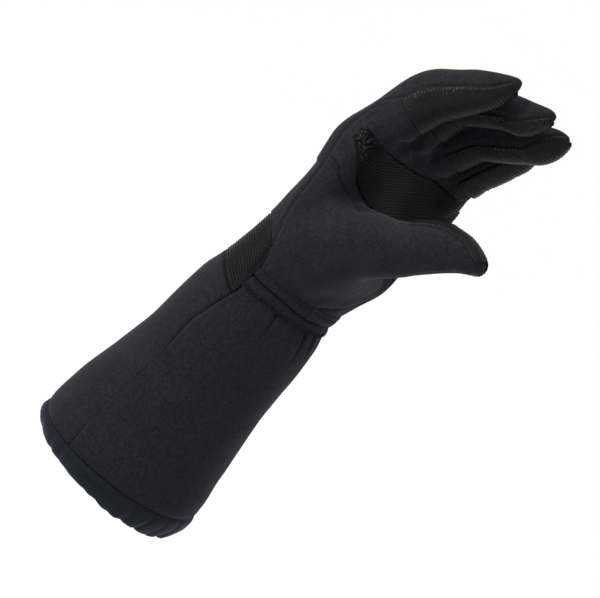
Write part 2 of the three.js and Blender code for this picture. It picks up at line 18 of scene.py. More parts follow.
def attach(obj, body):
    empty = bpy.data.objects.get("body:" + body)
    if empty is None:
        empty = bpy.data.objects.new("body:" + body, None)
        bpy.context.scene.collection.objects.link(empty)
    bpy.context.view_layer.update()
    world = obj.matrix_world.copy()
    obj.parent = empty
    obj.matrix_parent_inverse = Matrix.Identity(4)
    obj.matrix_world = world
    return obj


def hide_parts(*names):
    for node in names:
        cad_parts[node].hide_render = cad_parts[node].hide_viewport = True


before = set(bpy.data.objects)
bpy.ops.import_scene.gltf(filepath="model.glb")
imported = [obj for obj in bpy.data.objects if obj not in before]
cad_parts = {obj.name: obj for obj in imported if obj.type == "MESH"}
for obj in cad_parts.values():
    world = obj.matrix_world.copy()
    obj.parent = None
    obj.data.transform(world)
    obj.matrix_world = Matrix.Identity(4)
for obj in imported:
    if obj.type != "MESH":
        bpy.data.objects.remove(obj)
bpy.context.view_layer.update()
MM = 0.001
rng = np.random.default_rng(7)
print("nodes in the frame:", len(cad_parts))

# %% [markdown]
# ## The form in tables
#
# A worn glove has the shape of the arm in it. Its sections could be sculpted by hand, but a
# table of sections with a smooth curve through each column gives the same form at any
# resolution, so the cloth here can be far finer than the frame and still fit it.

# %% Tables and the curve through a column
def table(names, rows):
    return dict(zip(names.split(), np.array(rows, float).T))


def column(rows, key, name, at):
    """A column of a table as a smooth curve of its key column."""
    keys, values = rows[key], rows[name]
    at = np.asarray(at, float)
    i = np.clip(np.searchsorted(keys, at, side="right") - 1, 0, len(keys) - 2)
    before, after = np.maximum(i - 1, 0), np.minimum(i + 2, len(keys) - 1)
    span = keys[i + 1] - keys[i]
    u = np.clip((at - keys[i]) / span, 0, 1)
    slope_a = (values[i + 1] - values[before]) / (keys[i + 1] - keys[before]) * span
    slope_b = (values[after] - values[i]) / (keys[after] - keys[i]) * span
    return (
        values[i] * (1 + 2 * u) * (1 - u) ** 2
        + slope_a * u * (1 - u) ** 2
        + values[i + 1] * u * u * (3 - 2 * u)
        - slope_b * u * u * (1 - u)
    )


# Sections of forearm, wrist and palm. deep, wide: half sizes along X and Y. cup, curl: how far
# the two edges of the palm turn forward. square: 2 is an ellipse.
ARM = table(
    "z x y deep wide cup curl square",
    [
        (-2, 0, 0, 44.5, 49.5, 0, 0, 2),
        (18, 0.5, 0, 47.1, 50.5, 0, 0, 2),
        (36, 0.1, 0, 44.6, 48.5, 0, 0, 2),
        (60, 1.6, 0, 40.1, 44.5, 0, 0, 2),
        (84, 3.5, 0, 37, 41.8, 0, 0, 2),
        (108, 4.8, 0, 35.4, 40.6, 0, 0, 2),
        (122, 5.1, 0, 33.7, 39.2, 0, 0, 2),
        (136, 6.1, 0, 29.4, 37, 0, 0, 2),
        (150, 9.4, 0, 27.9, 37, 1, 3, 2.1),
        (166, 10.9, 0.5, 25.9, 39.5, 2, 10, 2.2),
        (186, 9, 1, 20.5, 42.5, 4, 13, 2.35),
        (206, 7.5, 1, 17.5, 44, 5, 16, 2.45),
        (222, 7.5, 0.5, 16, 44.5, 5, 17, 2.5),
        (234, 10, 0, 13.5, 42.5, 4, 16, 2.5),
        (242, 13.5, -1, 10.5, 38, 3, 13, 2.4),
        (247, 16, -2, 5.5, 31, 2, 9, 2.2),
    ],
)

# The two seams up the arm, in degrees round it
SEAMS = table(
    "z thumb little",
    [
        (0, -82, 98),
        (76, -82, 98),
        (100, -85, 97),
        (116, -79, 95),
        (130, -73, 92),
        (143, -75, 92),
        (154, -84, 94),
        (176, -97, 97),
        (206, -98, 98),
        (228, -110, 102),
        (260, -116, 106),
    ],
)
HEM_TOP, GAUNTLET_TOP, BAND_TOP = 12.5, 130.0, 143.5

# The stretch patch's lower and upper edge, seen along Y: both rise towards the back
STRETCH_LOW = table(
    "x z",
    [
        (-60, 134.5), (-11.8, 133), (-4.3, 130.9), (3.5, 127.5), (8.5, 125.4), (12.5, 124.2),
        (40, 124),
    ],
)
STRETCH_HIGH = table(
    "x z",
    [
        (-60, 166), (-20, 165.8), (1.5, 164.3), (5.5, 162.4), (10.1, 158.9), (14.1, 155.3),
        (40, 154.8),
    ],
)
GAP, FINE_GAP = 0.3, 0.05
KNIT_THICKNESS = 2.2


# %% A point of the arm, and the angle of a point
def arm_section(z):
    names = ("x", "y", "deep", "wide", "cup", "curl", "square")
    return [column(ARM, "z", name, z) for name in names]


def arm_point(degrees, z, outset=0.0):
    """Points of the arm and palm. 0 degrees faces the palm side, 90 the little finger's."""
    degrees, z, outset = np.broadcast_arrays(
        np.asarray(degrees, float), np.asarray(z, float), np.asarray(outset, float)
    )
    x, y, deep, wide, cup, curl, square = arm_section(z)
    along, across = np.cos(np.radians(degrees)), np.sin(np.radians(degrees))
    u = np.sign(along) * np.abs(along) ** (2 / square)
    v = np.sign(across) * np.abs(across) ** (2 / square)
    lean = np.where(v < 0, cup, curl) * v * v
    return np.stack([x + (deep + outset) * u + lean, y + (wide + outset) * v, z], -1)


def arm_angle(points):
    """Degrees round the arm of any points, and how far they lie from its middle."""
    x, y, deep, wide, cup, curl, square = arm_section(points[:, 2])
    v = (points[:, 1] - y) / wide
    u = (points[:, 0] - x - np.where(v < 0, cup, curl) * v * v) / deep
    power = square / 2
    rise = np.sign(v) * np.abs(v) ** power
    run = np.sign(u) * np.abs(u) ** power
    return np.degrees(np.arctan2(rise, run)), np.hypot(points[:, 0] - x, points[:, 1] - y)


def edge_height(edge, degrees):
    """The height of an edge of the stretch patch at each angle round the arm."""
    z = np.full(np.shape(degrees), 145.0)
    for _ in range(14):
        z = (z + column(edge, "x", "z", arm_point(degrees, z)[..., 0])) / 2
    return z


def bell(distance, width):
    return np.exp(-((distance / width) ** 2))


def smoothstep(value, low, high):
    t = np.clip((value - low) / (high - low), 0, 1)
    return t * t * (3 - 2 * t)


print("palm breadth at the knuckles, mm:", round(2 * float(column(ARM, "z", "wide", 222)), 1))

# %% [markdown]
# ## Fingers and thumb
#
# A gloved finger is a soft tube that turns at each joint. A straight tube could be bent with an
# armature, but walking along the finger and adding up its bend gives the centre line directly,
# and any ring, grip row or seam can then be asked for at a distance from the knuckle.

# %% Fingers
# x, y, z: knuckle. splay: degrees. root: radius at the knuckle. grip: the grip's two edges in
# degrees round the finger, at shares of its length. begin: how far above the knuckle each edge
# starts. reach: the share of the fingertip that it covers. tip: length of the tapered fingertip.
# rise: how far its end lies towards the nail. phalanges: length, bend in degrees, end radius.
FINGERS = {
    "index": dict(
        at=(8.7, -31.2, 221), splay=3, root=12.8, begin=(31, 28.5), reach=0.88,
        grip=[(0, -90, 60), (0.45, -85, 60), (0.8, -77, 60), (1, -84, 66)],
        tip=20.5, rise=7, phalanges=[(43, 21, 12.3), (25, 25, 9.9), (19.9, 18, 8.4)],
    ),
    "middle": dict(
        at=(7.7, -9.5, 225.3), splay=1, root=12.1, begin=(28, 28), reach=0.95,
        grip=[(0, -60, 60), (0.8, -60, 60), (1, -78, 75)],
        tip=16.5, rise=6.8, phalanges=[(46, 24.5, 9.9), (27, 37.5, 8.8), (21.9, 17, 8.7)],
    ),
    "ring": dict(
        at=(9.4, 12.5, 221.9), splay=-1, root=11.8, begin=(28, 28), reach=0.99,
        grip=[(0, -60, 60), (0.7, -62, 62), (0.88, -95, 80), (1, -130, 110)],
        tip=15.2, rise=2.7, phalanges=[(44, 33, 10.1), (26.5, 26, 9.3), (21.6, 0, 8.2)],
    ),
    "little": dict(
        at=(17.1, 33.5, 212.1), splay=-3, root=11.6, begin=(26, 26), reach=0.95,
        grip=[(0, -60, 90), (0.8, -60, 90), (1, -80, 95)],
        tip=13.4, rise=0.2, phalanges=[(34, 21.5, 10.3), (19, 9, 10.4), (18.7, 1.5, 8.4)],
    ),
}
FINGER_ROOT, ROOT_TAPER, FINGER_BASE = -20, 0.8, 21
FINGER_SLIM, JOINT_BEND, TIP_ROUND = 0.92, 16, 0.58


def walk(finger):
    """The finger's centre line, its direction and its grip side, at close steps from its root."""
    joints = np.cumsum([0] + [p[0] for p in finger["phalanges"]])
    s = np.arange(-24, joints[-1] + 8, 0.5)
    turn = np.zeros_like(s)
    for joint, (_, bend, _) in zip(joints, finger["phalanges"]):
        turn += np.radians(bend) * smoothstep(s, joint - JOINT_BEND / 2, joint + JOINT_BEND / 2)
    splay = np.radians(finger["splay"])
    along = np.stack(
        [np.sin(turn), np.cos(turn) * np.sin(splay), np.cos(turn) * np.cos(splay)], -1
    )
    side = np.array([0, np.cos(splay), -np.sin(splay)])
    steps = (along[1:] + along[:-1]) / 4
    centre = np.concatenate([[np.zeros(3)], np.cumsum(steps, 0)])
    centre += np.array(finger["at"]) - centre[np.searchsorted(s, 0)]
    finger.update(s=s, centre=centre, along=along, side=side, palm=np.cross(side, along))
    finger["joints"] = joints
    radii = [finger["root"] * ROOT_TAPER, finger["root"]] + [p[2] for p in finger["phalanges"]]
    finger["radius"] = {"s": np.concatenate([[FINGER_ROOT], joints]), "r": np.array(radii)}


def along_finger(finger, name, s):
    return np.stack([np.interp(s, finger["s"], finger[name][:, k]) for k in range(3)], -1)


def finger_tip(finger):
    """Where the tapered fingertip starts, and its length."""
    return finger["joints"][-1] - finger["tip"], finger["tip"]


def finger_point(finger, s, degrees, outset=0.0):
    """Points of a finger. 0 degrees faces the grip side, and s counts from the knuckle."""
    s, degrees, outset = np.broadcast_arrays(
        np.asarray(s, float), np.asarray(degrees, float), np.asarray(outset, float)
    )
    start, length = finger_tip(finger)
    into_tip = np.clip((s - start) / length, 0, 1)
    radius = column(finger["radius"], "s", "r", s) * (1 - into_tip**2) ** TIP_ROUND + outset
    radius = np.maximum(radius, 0.05)
    towards_palm = radius * np.cos(np.radians(degrees)) - finger["rise"] * into_tip**2
    sideways = FINGER_SLIM * radius * np.sin(np.radians(degrees))
    return (
        along_finger(finger, "centre", s)
        + along_finger(finger, "palm", s) * towards_palm[..., None]
        + finger["side"] * sideways[..., None]
    )


def grip_end(finger):
    start, length = finger_tip(finger)
    return start + finger["reach"] * length


def grip_edge(finger, s, side):
    """Degrees round the finger of one edge of its grip. side: 0 or 1."""
    begin = finger["begin"][side]
    share = (s - begin) / (grip_end(finger) - begin)
    shares, low, high = np.array(finger["grip"], float).T
    return np.interp(share, shares, (low, high)[side])


for finger in FINGERS.values():
    walk(finger)

# %% Thumb
# high: half size in the XZ plane. broad: half size along Y.
THUMB = table(
    "at x y z high broad",
    [
        (0, 12.5, -14, 148, 18, 18),
        (1, 19, -20.5, 165, 25, 19.5),
        (2, 38.5, -23.5, 182.6, 20.9, 17.5),
        (3, 63.5, -26, 196.4, 13.9, 14.5),
        (4, 80.5, -27, 209.4, 12.1, 12.3),
        (5, 91, -26.5, 215.1, 9.8, 10.6),
        (5.7, 101.8, -26, 217.1, 5.6, 7.2),
        (6, 106.9, -26, 217.3, 2.2, 3),
    ],
)
# Outline of the thumb's panel on the palm, as Y and Z: it follows the fold round the thumb's ball
THUMB_PANEL = np.array(
    [
        (-70, 140), (-9, 140), (-3.5, 144.7), (4, 146.6), (12, 150.5), (22, 156.6), (28.5, 161),
        (31.3, 169.7), (31, 176), (18, 176.5), (3, 180.5), (-7, 189.5), (-16, 196.8), (-27, 199),
        (-33, 199.6), (-39.3, 202), (-43, 207.4), (-48, 211), (-70, 214),
    ]
)


def thumb_point(at, degrees, outset=0.0):
    """Points of the thumb. 0 degrees faces the index finger, 90 the palm's hollow."""
    at, degrees, outset = np.broadcast_arrays(
        np.asarray(at, float), np.asarray(degrees, float), np.asarray(outset, float)
    )
    x, y, z, high, broad = [column(THUMB, "at", n, at) for n in ("x", "y", "z", "high", "broad")]
    run = column(THUMB, "at", "x", at + 0.05) - column(THUMB, "at", "x", at - 0.05)
    rise = column(THUMB, "at", "z", at + 0.05) - column(THUMB, "at", "z", at - 0.05)
    length = np.hypot(run, rise)
    along, across = np.cos(np.radians(degrees)), np.sin(np.radians(degrees))
    return np.stack(
        [
            x - rise / length * (high + outset) * along,
            y + (broad + outset) * across,
            z + run / length * (high + outset) * along,
        ],
        -1,
    )


# %% [markdown]
# ## Cloth materials
#
# The knit is a brushed, fleecy black: it takes light evenly, and grows paler where it is seen
# edge on, because its nap catches light. Principled sheen does that better than a painted rim,
# and it holds in every view. The grip cloth is smoother and a more neutral black. Its ribs are in
# its mesh, so its material only adds fine threads and gloss.

# %% Material helpers
SHEEN_ROUGHNESS = 0.4


def cloth(name, colour, roughness, specular, sheen, sheen_colour):
    """A cloth material with its constant values on the shader's own sockets."""
    material = bpy.data.materials.new(name)
    material.use_nodes = True
    shader = material.node_tree.nodes["Principled BSDF"]
    shader.inputs["Base Color"].default_value = (*colour, 1)
    shader.inputs["Roughness"].default_value = roughness
    shader.inputs["Specular IOR Level"].default_value = specular
    shader.inputs["Sheen Weight"].default_value = sheen
    shader.inputs["Sheen Roughness"].default_value = SHEEN_ROUGHNESS
    shader.inputs["Sheen Tint"].default_value = (*sheen_colour, 1)
    return material


def link(material, source, output, target, socket):
    material.node_tree.links.new(source.outputs[output], target.inputs[socket])


def node(material, kind, **values):
    made = material.node_tree.nodes.new(kind)
    for key, value in values.items():
        if hasattr(made, key):
            setattr(made, key, value)
        else:
            made.inputs[key.replace("_", " ")].default_value = value
    return made


def mottle(material, dark, pale, layers):
    """Colour that wanders between dark and pale with noise. layers: scale per metre, share."""
    place = node(material, "ShaderNodeTexCoord")
    total = None
    for scale, share in layers:
        grain = node(material, "ShaderNodeTexNoise", Scale=scale, Detail=3.0)
        link(material, place, "Object", grain, "Vector")
        part = node(material, "ShaderNodeMath", operation="MULTIPLY")
        link(material, grain, "Fac", part, 0)
        part.inputs[1].default_value = share
        if total is not None:
            joined = node(material, "ShaderNodeMath", operation="ADD")
            link(material, total, 0, joined, 0)
            link(material, part, 0, joined, 1)
            part = joined
        total = part
    ramp = node(material, "ShaderNodeValToRGB")
    ramp.color_ramp.elements[0].position = 0.34
    ramp.color_ramp.elements[1].position = 0.66
    ramp.color_ramp.elements[0].color = (*dark, 1)
    ramp.color_ramp.elements[1].color = (*pale, 1)
    link(material, total, 0, ramp, "Fac")
    link(material, ramp, "Color", material.node_tree.nodes["Principled BSDF"], "Base Color")
    return place


def relief(material, place, layers):
    """Bump from several noises. layers: scale per metre, height in metres."""
    normal = None
    for scale, height in layers:
        grain = node(material, "ShaderNodeTexNoise", Scale=scale, Detail=4.0, Roughness=0.6)
        link(material, place, "Object", grain, "Vector")
        bump = node(material, "ShaderNodeBump", Strength=1.0, Distance=height)
        link(material, grain, "Fac", bump, "Height")
        if normal is not None:
            link(material, normal, "Normal", bump, "Normal")
        normal = bump
    link(material, normal, "Normal", material.node_tree.nodes["Principled BSDF"], "Normal")


# %% The knit, the hem's knit, the grip cloth, the stretch patch and the thread
knit = cloth("brushed_knit", (0.0113, 0.0111, 0.0136), 0.95, 0.03, 0.09, (0.62, 0.64, 0.74))
place = mottle(
    knit, (0.0068, 0.0067, 0.0084), (0.0158, 0.0155, 0.0188), [(900, 0.6), (380, 0.25), (60, 0.15)]
)
relief(knit, place, [(1500, 0.00012), (520, 0.0002), (110, 0.00025)])

hem_knit = cloth("hem_knit", (0.0075, 0.008, 0.012), 0.9, 0.05, 0.14, (0.5, 0.56, 0.8))
place = mottle(
    hem_knit, (0.0055, 0.006, 0.009), (0.0105, 0.0112, 0.0165),
    [(900, 0.45), (220, 0.3), (45, 0.25)],
)
relief(hem_knit, place, [(1500, 0.00012), (520, 0.00018)])

# The ribbed cloths share their grain and their fine threads
GRIP_GRAIN = [(1400, 0.6), (300, 0.25), (80, 0.15)]
GRIP_THREADS = [(2600, 0.00006), (700, 0.0001)]
# This copy, used on the fingers and thumb, is painted lighter than the palm's grip, as light that
# makes up for the shade between the fingers
grip_cloth = cloth("ribbed_grip", (0.0069, 0.0069, 0.0072), 0.3, 0.06, 0.0, (1, 1, 1))
place = mottle(grip_cloth, (0.003, 0.003, 0.0032), (0.0112, 0.0112, 0.0117), GRIP_GRAIN)
relief(grip_cloth, place, GRIP_THREADS)

# The palm's grip is the same ribbed cloth painted darker as shade, and a little duller
palm_grip_painted_shade = cloth("ribbed_grip_painted_shade", (0.0027, 0.0027, 0.0028), 0.36, 0.04, 0.0, (1, 1, 1))
place = mottle(palm_grip_painted_shade, (0.0012, 0.0012, 0.0013), (0.0045, 0.0045, 0.0047), GRIP_GRAIN)
relief(palm_grip_painted_shade, place, GRIP_THREADS)

stretch_cloth = cloth("stretch_mesh", (0.0038, 0.0038, 0.0039), 0.32, 0.05, 0.0, (1, 1, 1))
place = mottle(stretch_cloth, (0.0018, 0.0018, 0.0019), (0.0062, 0.0062, 0.0063), GRIP_GRAIN)
relief(stretch_cloth, place, GRIP_THREADS)

thread = cloth("black_thread", (0.0045, 0.0045, 0.0055), 0.8, 0.0, 0.0, (1, 1, 1))
place = mottle(thread, (0.003, 0.003, 0.0036), (0.006, 0.006, 0.0072), [(2500, 0.6), (600, 0.4)])
relief(thread, place, [(4000, 0.00005)])

# Pale glossy bars that stand in for glints of light on the grips' ribs: painted highlights
painted_glint_thread = cloth("painted_glint_thread", (0.012, 0.012, 0.011), 0.3, 0.5, 0.0, (1, 1, 1))
place = mottle(
    painted_glint_thread, (0.004, 0.004, 0.004), (0.03, 0.03, 0.028), [(900, 0.6), (300, 0.4)]
)
relief(painted_glint_thread, place, [(4000, 0.00005)])
print("materials:", [m.name for m in bpy.data.materials if m.users or m.use_nodes])

# %% [markdown]
# ## Meshes from points
#
# Two helpers turn points into pieces. One makes a mesh, the other gives a grid of points a
# thickness and closes its edges, so that every panel is cloth with two faces and not a film.

# %% Mesh helpers
def mesh_piece(name, points, faces, material, replaces=(), slot=None, normals=None):
    """Makes an object from points in millimetres, and lets it ride on the frame."""
    mesh = bpy.data.meshes.new(name)
    mesh.from_pydata((points * MM).tolist(), [], faces.tolist())
    mesh.polygons.foreach_set("use_smooth", np.ones(len(mesh.polygons), bool))
    mesh.materials.append(material)
    if normals is not None:
        mesh.normals_split_custom_set_from_vertices(normals.tolist())
    mesh.validate()
    mesh.update()
    piece = bpy.data.objects.new(name, mesh)
    bpy.context.scene.collection.objects.link(piece)
    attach(piece, "root")
    if replaces:
        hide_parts(*replaces)
    triangles = sum(len(p.vertices) - 2 for p in mesh.polygons)
    print(f"{name}: {len(points)} points, {triangles} triangles")
    return piece


def grid_faces(rows, columns, closed=False, start=0, flip=False):
    """Quads over a grid of points. closed joins the last column to the first."""
    r = np.arange(rows - 1)[:, None]
    c = np.arange(columns if closed else columns - 1)[None, :]
    a = start + r * columns + c
    b = start + r * columns + (c + 1) % columns
    quads = np.stack([a, b, b + columns, a + columns], -1).reshape(-1, 4)
    return quads[:, ::-1] if flip else quads


def cloth_solid(outer, inner, closed=False):
    """Points and faces of cloth between two grids, with its edges closed."""
    rows, columns = outer.shape[:2]
    points = np.concatenate([outer.reshape(-1, 3), inner.reshape(-1, 3)])
    count = rows * columns
    faces = [grid_faces(rows, columns, closed)]
    faces.append(grid_faces(rows, columns, closed, start=count, flip=True))
    c = np.arange(columns if closed else columns - 1)
    n = (c + 1) % columns
    top = (rows - 1) * columns
    faces.append(np.stack([c, c + count, n + count, n], -1))
    faces.append(np.stack([top + c, top + n, top + n + count, top + c + count], -1))
    if not closed:
        r = np.arange(rows - 1) * columns
        last = r + columns - 1
        faces.append(np.stack([r, r + columns, r + columns + count, r + count], -1))
        faces.append(np.stack([last, last + count, last + columns + count, last + columns], -1))
    return points, np.concatenate(faces)


def waves(points, size, height, seed=0.0):
    """Soft random height at each point, with swells of the given size in millimetres."""
    flat = points.reshape(-1, 3) / size + seed
    values = np.array([noise.noise(Vector(p)) for p in flat])
    return height * values.reshape(points.shape[:-1])


# %% [markdown]
# ## The hand's skin
#
# Palm, fingers and thumb are one bag of cloth, with soft hollows where they meet. Joining tubes
# with booleans would leave hard creases there. Here the tubes are thrown together and remeshed
# into one skin of even little faces, which is then smoothed, most of all in the hollows.

# %% Tubes thrown together
def closed_tube(rings):
    """Points and triangles of a closed tube through rings of points."""
    rows, columns = rings.shape[:2]
    quads = grid_faces(rows, columns, closed=True)
    triangles = np.concatenate([quads[:, [0, 1, 2]], quads[:, [0, 2, 3]]])
    c = np.arange(columns)
    n = (c + 1) % columns
    foot, head = rows * columns, rows * columns + 1
    top = (rows - 1) * columns
    ends = [np.stack([np.full(columns, foot), n, c], -1)]
    ends.append(np.stack([np.full(columns, head), top + c, top + n], -1))
    points = np.concatenate([rings.reshape(-1, 3), [rings[0].mean(0), rings[-1].mean(0)]])
    return points, np.concatenate([triangles, *ends])


def round_angles(count):
    return np.arange(count) / count * 360


# Half a millimetre too slim, so that neighbouring fingers don't melt together
SLIM = 0.5
heights, stations = np.linspace(138, 247, 90)[:, None], np.linspace(0, 6, 110)[:, None]
tubes = [closed_tube(arm_point(round_angles(96)[None], heights, -SLIM))]
tubes.append(closed_tube(thumb_point(stations, round_angles(64)[None], -SLIM)))
for finger in FINGERS.values():
    start, length = finger_tip(finger)
    tip = start + length * np.sin(np.linspace(0, np.pi / 2, 16)[:-1])
    stations = np.concatenate([np.linspace(FINGER_ROOT, start, 80)[:-1], tip])[:, None]
    tubes.append(closed_tube(finger_point(finger, stations, round_angles(48)[None], -SLIM)))

# Cloth stretched from the underside of the thumb to the heel of the hand: a convex hull
under_thumb = thumb_point(np.linspace(1, 2.3, 10)[:, None], np.linspace(70, 290, 30)[None], -SLIM)
heel = arm_point(np.linspace(-70, 45, 30)[None], np.linspace(149, 166, 10)[:, None], -SLIM)
span = bmesh.new()
for point in np.concatenate([under_thumb.reshape(-1, 3), heel.reshape(-1, 3)]):
    span.verts.new(point)
bmesh.ops.convex_hull(span, input=span.verts)
span.verts.ensure_lookup_table()
span_faces = np.array([[v.index for v in face.verts] for face in span.faces])
corners, span_faces = np.unique(span_faces, return_inverse=True)
span_points = np.array([tuple(span.verts[i].co) for i in corners])
tubes.append((span_points, span_faces.reshape(-1, 3)))
span.free()
print("corners of the stretched cloth:", len(corners))

joined_points, joined_faces, total = [], [], 0
for points, faces in tubes:
    joined_points.append(points)
    joined_faces.append(faces + total)
    total += len(points)
print("tubes:", len(tubes), "points:", total)

# %% One skin
VOXEL = 0.8

rough_mesh = bpy.data.meshes.new("rough_skin")
rough_mesh.from_pydata(
    (np.concatenate(joined_points) * MM).tolist(), [], np.concatenate(joined_faces).tolist()
)
rough = bpy.data.objects.new("rough_skin", rough_mesh)
bpy.context.scene.collection.objects.link(rough)
remesh = rough.modifiers.new("one_skin", "REMESH")
remesh.mode = "VOXEL"
remesh.voxel_size = VOXEL * MM
remeshed = rough.evaluated_get(bpy.context.evaluated_depsgraph_get()).to_mesh()
remeshed.calc_loop_triangles()
skin = np.empty(len(remeshed.vertices) * 3)
remeshed.vertices.foreach_get("co", skin)
skin = skin.reshape(-1, 3) / MM
skin_faces = np.empty(len(remeshed.loop_triangles) * 3, np.int32)
remeshed.loop_triangles.foreach_get("vertices", skin_faces)
skin_faces = skin_faces.reshape(-1, 3).astype(int)
bpy.data.objects.remove(rough)
print("skin:", len(skin), "points,", len(skin_faces), "triangles")


# %% Smoothing, most of all in the hollows
def edges_of(faces):
    pairs = np.concatenate([faces[:, [0, 1]], faces[:, [1, 2]], faces[:, [2, 0]]])
    return np.unique(np.sort(pairs, 1), axis=0)


def neighbour_mean(values, edges):
    a, b = edges.T
    count = np.bincount(a, minlength=len(values)) + np.bincount(b, minlength=len(values))
    sums = [
        np.bincount(a, values[b, k], len(values)) + np.bincount(b, values[a, k], len(values))
        for k in range(values.shape[1])
    ]
    return np.stack(sums, -1) / np.maximum(count, 1)[:, None]


def point_normals(points, faces):
    a, b, c = points[faces[:, 0]], points[faces[:, 1]], points[faces[:, 2]]
    cross = np.cross(b - a, c - a)
    sums = [
        sum(np.bincount(faces[:, i], cross[:, k], len(points)) for i in range(3)) for k in range(3)
    ]
    normals = np.stack(sums, -1)
    return normals / np.maximum(np.linalg.norm(normals, axis=1), 1e-9)[:, None]


skin_edges = edges_of(skin_faces)
for _ in range(6):
    skin = skin + 0.5 * (neighbour_mean(skin, skin_edges) - skin)
    skin = skin - 0.52 * (neighbour_mean(skin, skin_edges) - skin)
normals = point_normals(skin, skin_faces)
hollow = np.einsum("ij,ij->i", neighbour_mean(skin, skin_edges) - skin, normals)[:, None]
for _ in range(8):
    hollow = neighbour_mean(hollow, skin_edges)
softness = smoothstep(hollow, 0.002 * VOXEL**2, 0.03 * VOXEL**2) * 0.5
for _ in range(int(16 / VOXEL)):
    skin = skin + softness * (neighbour_mean(skin, skin_edges) - skin)
skin = skin + SLIM * point_normals(skin, skin_faces)
print("share of the skin softened:", round(float((softness > 0.1).mean()), 3))


# %% [markdown]
# ## Parting the skin
#
# The skin is now cut into the pieces that a glove maker sews: back, palm, thumb and fingers.
# Cutting along the little faces would leave saw-tooth edges. Each seam is a line where some
# measure is zero, so the points next to it are first slid onto that line, and then the faces
# are shared out.

# %% Measures that are zero on the seams
def outline_depth(outline, u, v):
    """How far points lie inside a closed outline, negative outside."""
    inside = np.zeros(len(u), bool)
    nearest = np.full(len(u), np.inf)
    for (u0, v0), (u1, v1) in zip(outline, np.roll(outline, -1, axis=0)):
        t = ((u - u0) * (u1 - u0) + (v - v0) * (v1 - v0)) / ((u1 - u0) ** 2 + (v1 - v0) ** 2)
        t = np.clip(t, 0, 1)
        nearest = np.minimum(nearest, np.hypot(u - u0 - t * (u1 - u0), v - v0 - t * (v1 - v0)))
        crosses = (v0 > v) != (v1 > v)
        at = u0 + (v - v0) * (u1 - u0) / (v1 - v0 if v1 != v0 else 1)
        inside ^= crosses & (u < at)
    return np.where(inside, nearest, -nearest)


def finger_place(points):
    """The nearest finger, and how far along it each point is."""
    best = np.full(len(points), np.inf)
    which = np.full(len(points), -1)
    distance = np.full(len(points), -100.0)
    high = np.flatnonzero(points[:, 2] > 222)
    for k, finger in enumerate(FINGERS.values()):
        path = slice(None, None, 2)
        gaps = points[high, None] - finger["centre"][None, path]
        lengths = np.einsum("ijk,ijk->ij", gaps, gaps)
        i = lengths.argmin(1)
        s = finger["s"][path][i] + np.einsum(
            "ij,ij->i", gaps[np.arange(len(high)), i], finger["along"][path][i]
        )
        ratio = np.sqrt(lengths.min(1)) / column(finger["radius"], "s", "r", s)
        closer = ratio < best[high]
        spots = high[closer]
        best[spots], which[spots], distance[spots] = ratio[closer], k, s[closer]
    return which, distance


def measures(points):
    angle, reach = arm_angle(points)
    thumb = column(SEAMS, "z", "thumb", points[:, 2])
    little = column(SEAMS, "z", "little", points[:, 2])
    front = np.radians(np.minimum(angle - thumb, little - angle)) * reach
    panel = outline_depth(THUMB_PANEL, points[:, 1], points[:, 2])
    # Outside that outline too, skin well in front of the palm on this side counts as the thumb's
    past_palm = np.minimum(points[:, 0] - 39, -1 - points[:, 1])
    which, s = finger_place(points)
    patch_top = column(STRETCH_HIGH, "x", "z", points[:, 0]) + GAP
    band_top = BAND_TOP + FINE_GAP
    below = np.maximum(band_top - points[:, 2], np.minimum(patch_top - points[:, 2], -front))
    return dict(
        front=front, thumb=np.maximum(panel, past_palm), which=which, finger=s - FINGER_BASE,
        below=below,
    )


NONE, BACK, PALM, THUMB_SIDE, FIRST_FINGER = 0, 1, 2, 3, 4


def share_out(m):
    labels = np.where(m["front"] < 0, BACK, np.where(m["thumb"] > 0, THUMB_SIDE, PALM))
    labels = np.where(m["finger"] > 0, FIRST_FINGER + m["which"], labels)
    return np.where(m["below"] > 0, NONE, labels)


# %% Stretch the cloth over the hollows round the thumb's root
def stretch_over(points, faces, weight, rounds):
    """Fills hollows where weight isn't 0, as cloth does that is stretched over them."""
    near = weight > 0
    number = np.cumsum(near) - 1
    own_faces = number[faces[near[faces].all(1)]]
    own_edges = edges_of(own_faces)
    own, share = points[near], weight[near][:, None]
    for k in range(rounds):
        if k % 8 == 0:
            out = point_normals(own, own_faces)
        step = neighbour_mean(own, own_edges) - own
        hollow = np.einsum("ij,ij->i", step, out)[:, None] > 0
        own = own + np.where(hollow, 0.9, 0.06) * share * step
    filled = points.copy()
    filled[near] = own
    return filled


m = measures(skin)
away = np.linalg.norm((skin - np.array([30, -10, 168])) / np.array([40, 48, 36]), axis=1)
ball_side = np.where(
    m["front"] > 0, smoothstep(m["thumb"], 0.5, 7), smoothstep(6 - skin[:, 1], 0, 12)
)
weight = smoothstep(1 - away, 0, 0.35) * ball_side * smoothstep(skin[:, 2], 144, 153)
before = skin
skin = stretch_over(skin, skin_faces, weight, int(300 / VOXEL**2))

# The top of the thumb's ball is flatter than a tube
ball_top = bell(np.linalg.norm(skin - np.array([38, -29, 202]), axis=1), 11)[:, None]
for _ in range(int(60 / VOXEL**2)):
    skin = skin + 0.5 * ball_top * (neighbour_mean(skin, skin_edges) - skin)
moved = np.linalg.norm(skin - before, axis=1)
print("most that the cloth moved, mm:", round(float(moved.max()), 1))


# %% Slide points onto the seams, then share out the faces
def slide_to(points, edges, value, allowed):
    """Moves the nearer point of each edge that crosses zero onto the crossing."""
    a, b = edges[allowed[edges[:, 0]] & allowed[edges[:, 1]]].T
    crossing = (value[a] > 0) != (value[b] > 0)
    a, b = a[crossing], b[crossing]
    t = value[a] / (value[a] - value[b])
    near = np.where(t < 0.5, a, b)
    share = np.minimum(t, 1 - t)
    order = np.argsort(-share)
    target = points[a] + t[:, None] * (points[b] - points[a])
    moved = points.copy()
    moved[near[order]] = target[order]
    return moved


# In millimetres: above the skin's lower edge, only points this near to a seam slide onto it, and
# points this close count as on it
NEAR, TOUCHING = 6, 0.05

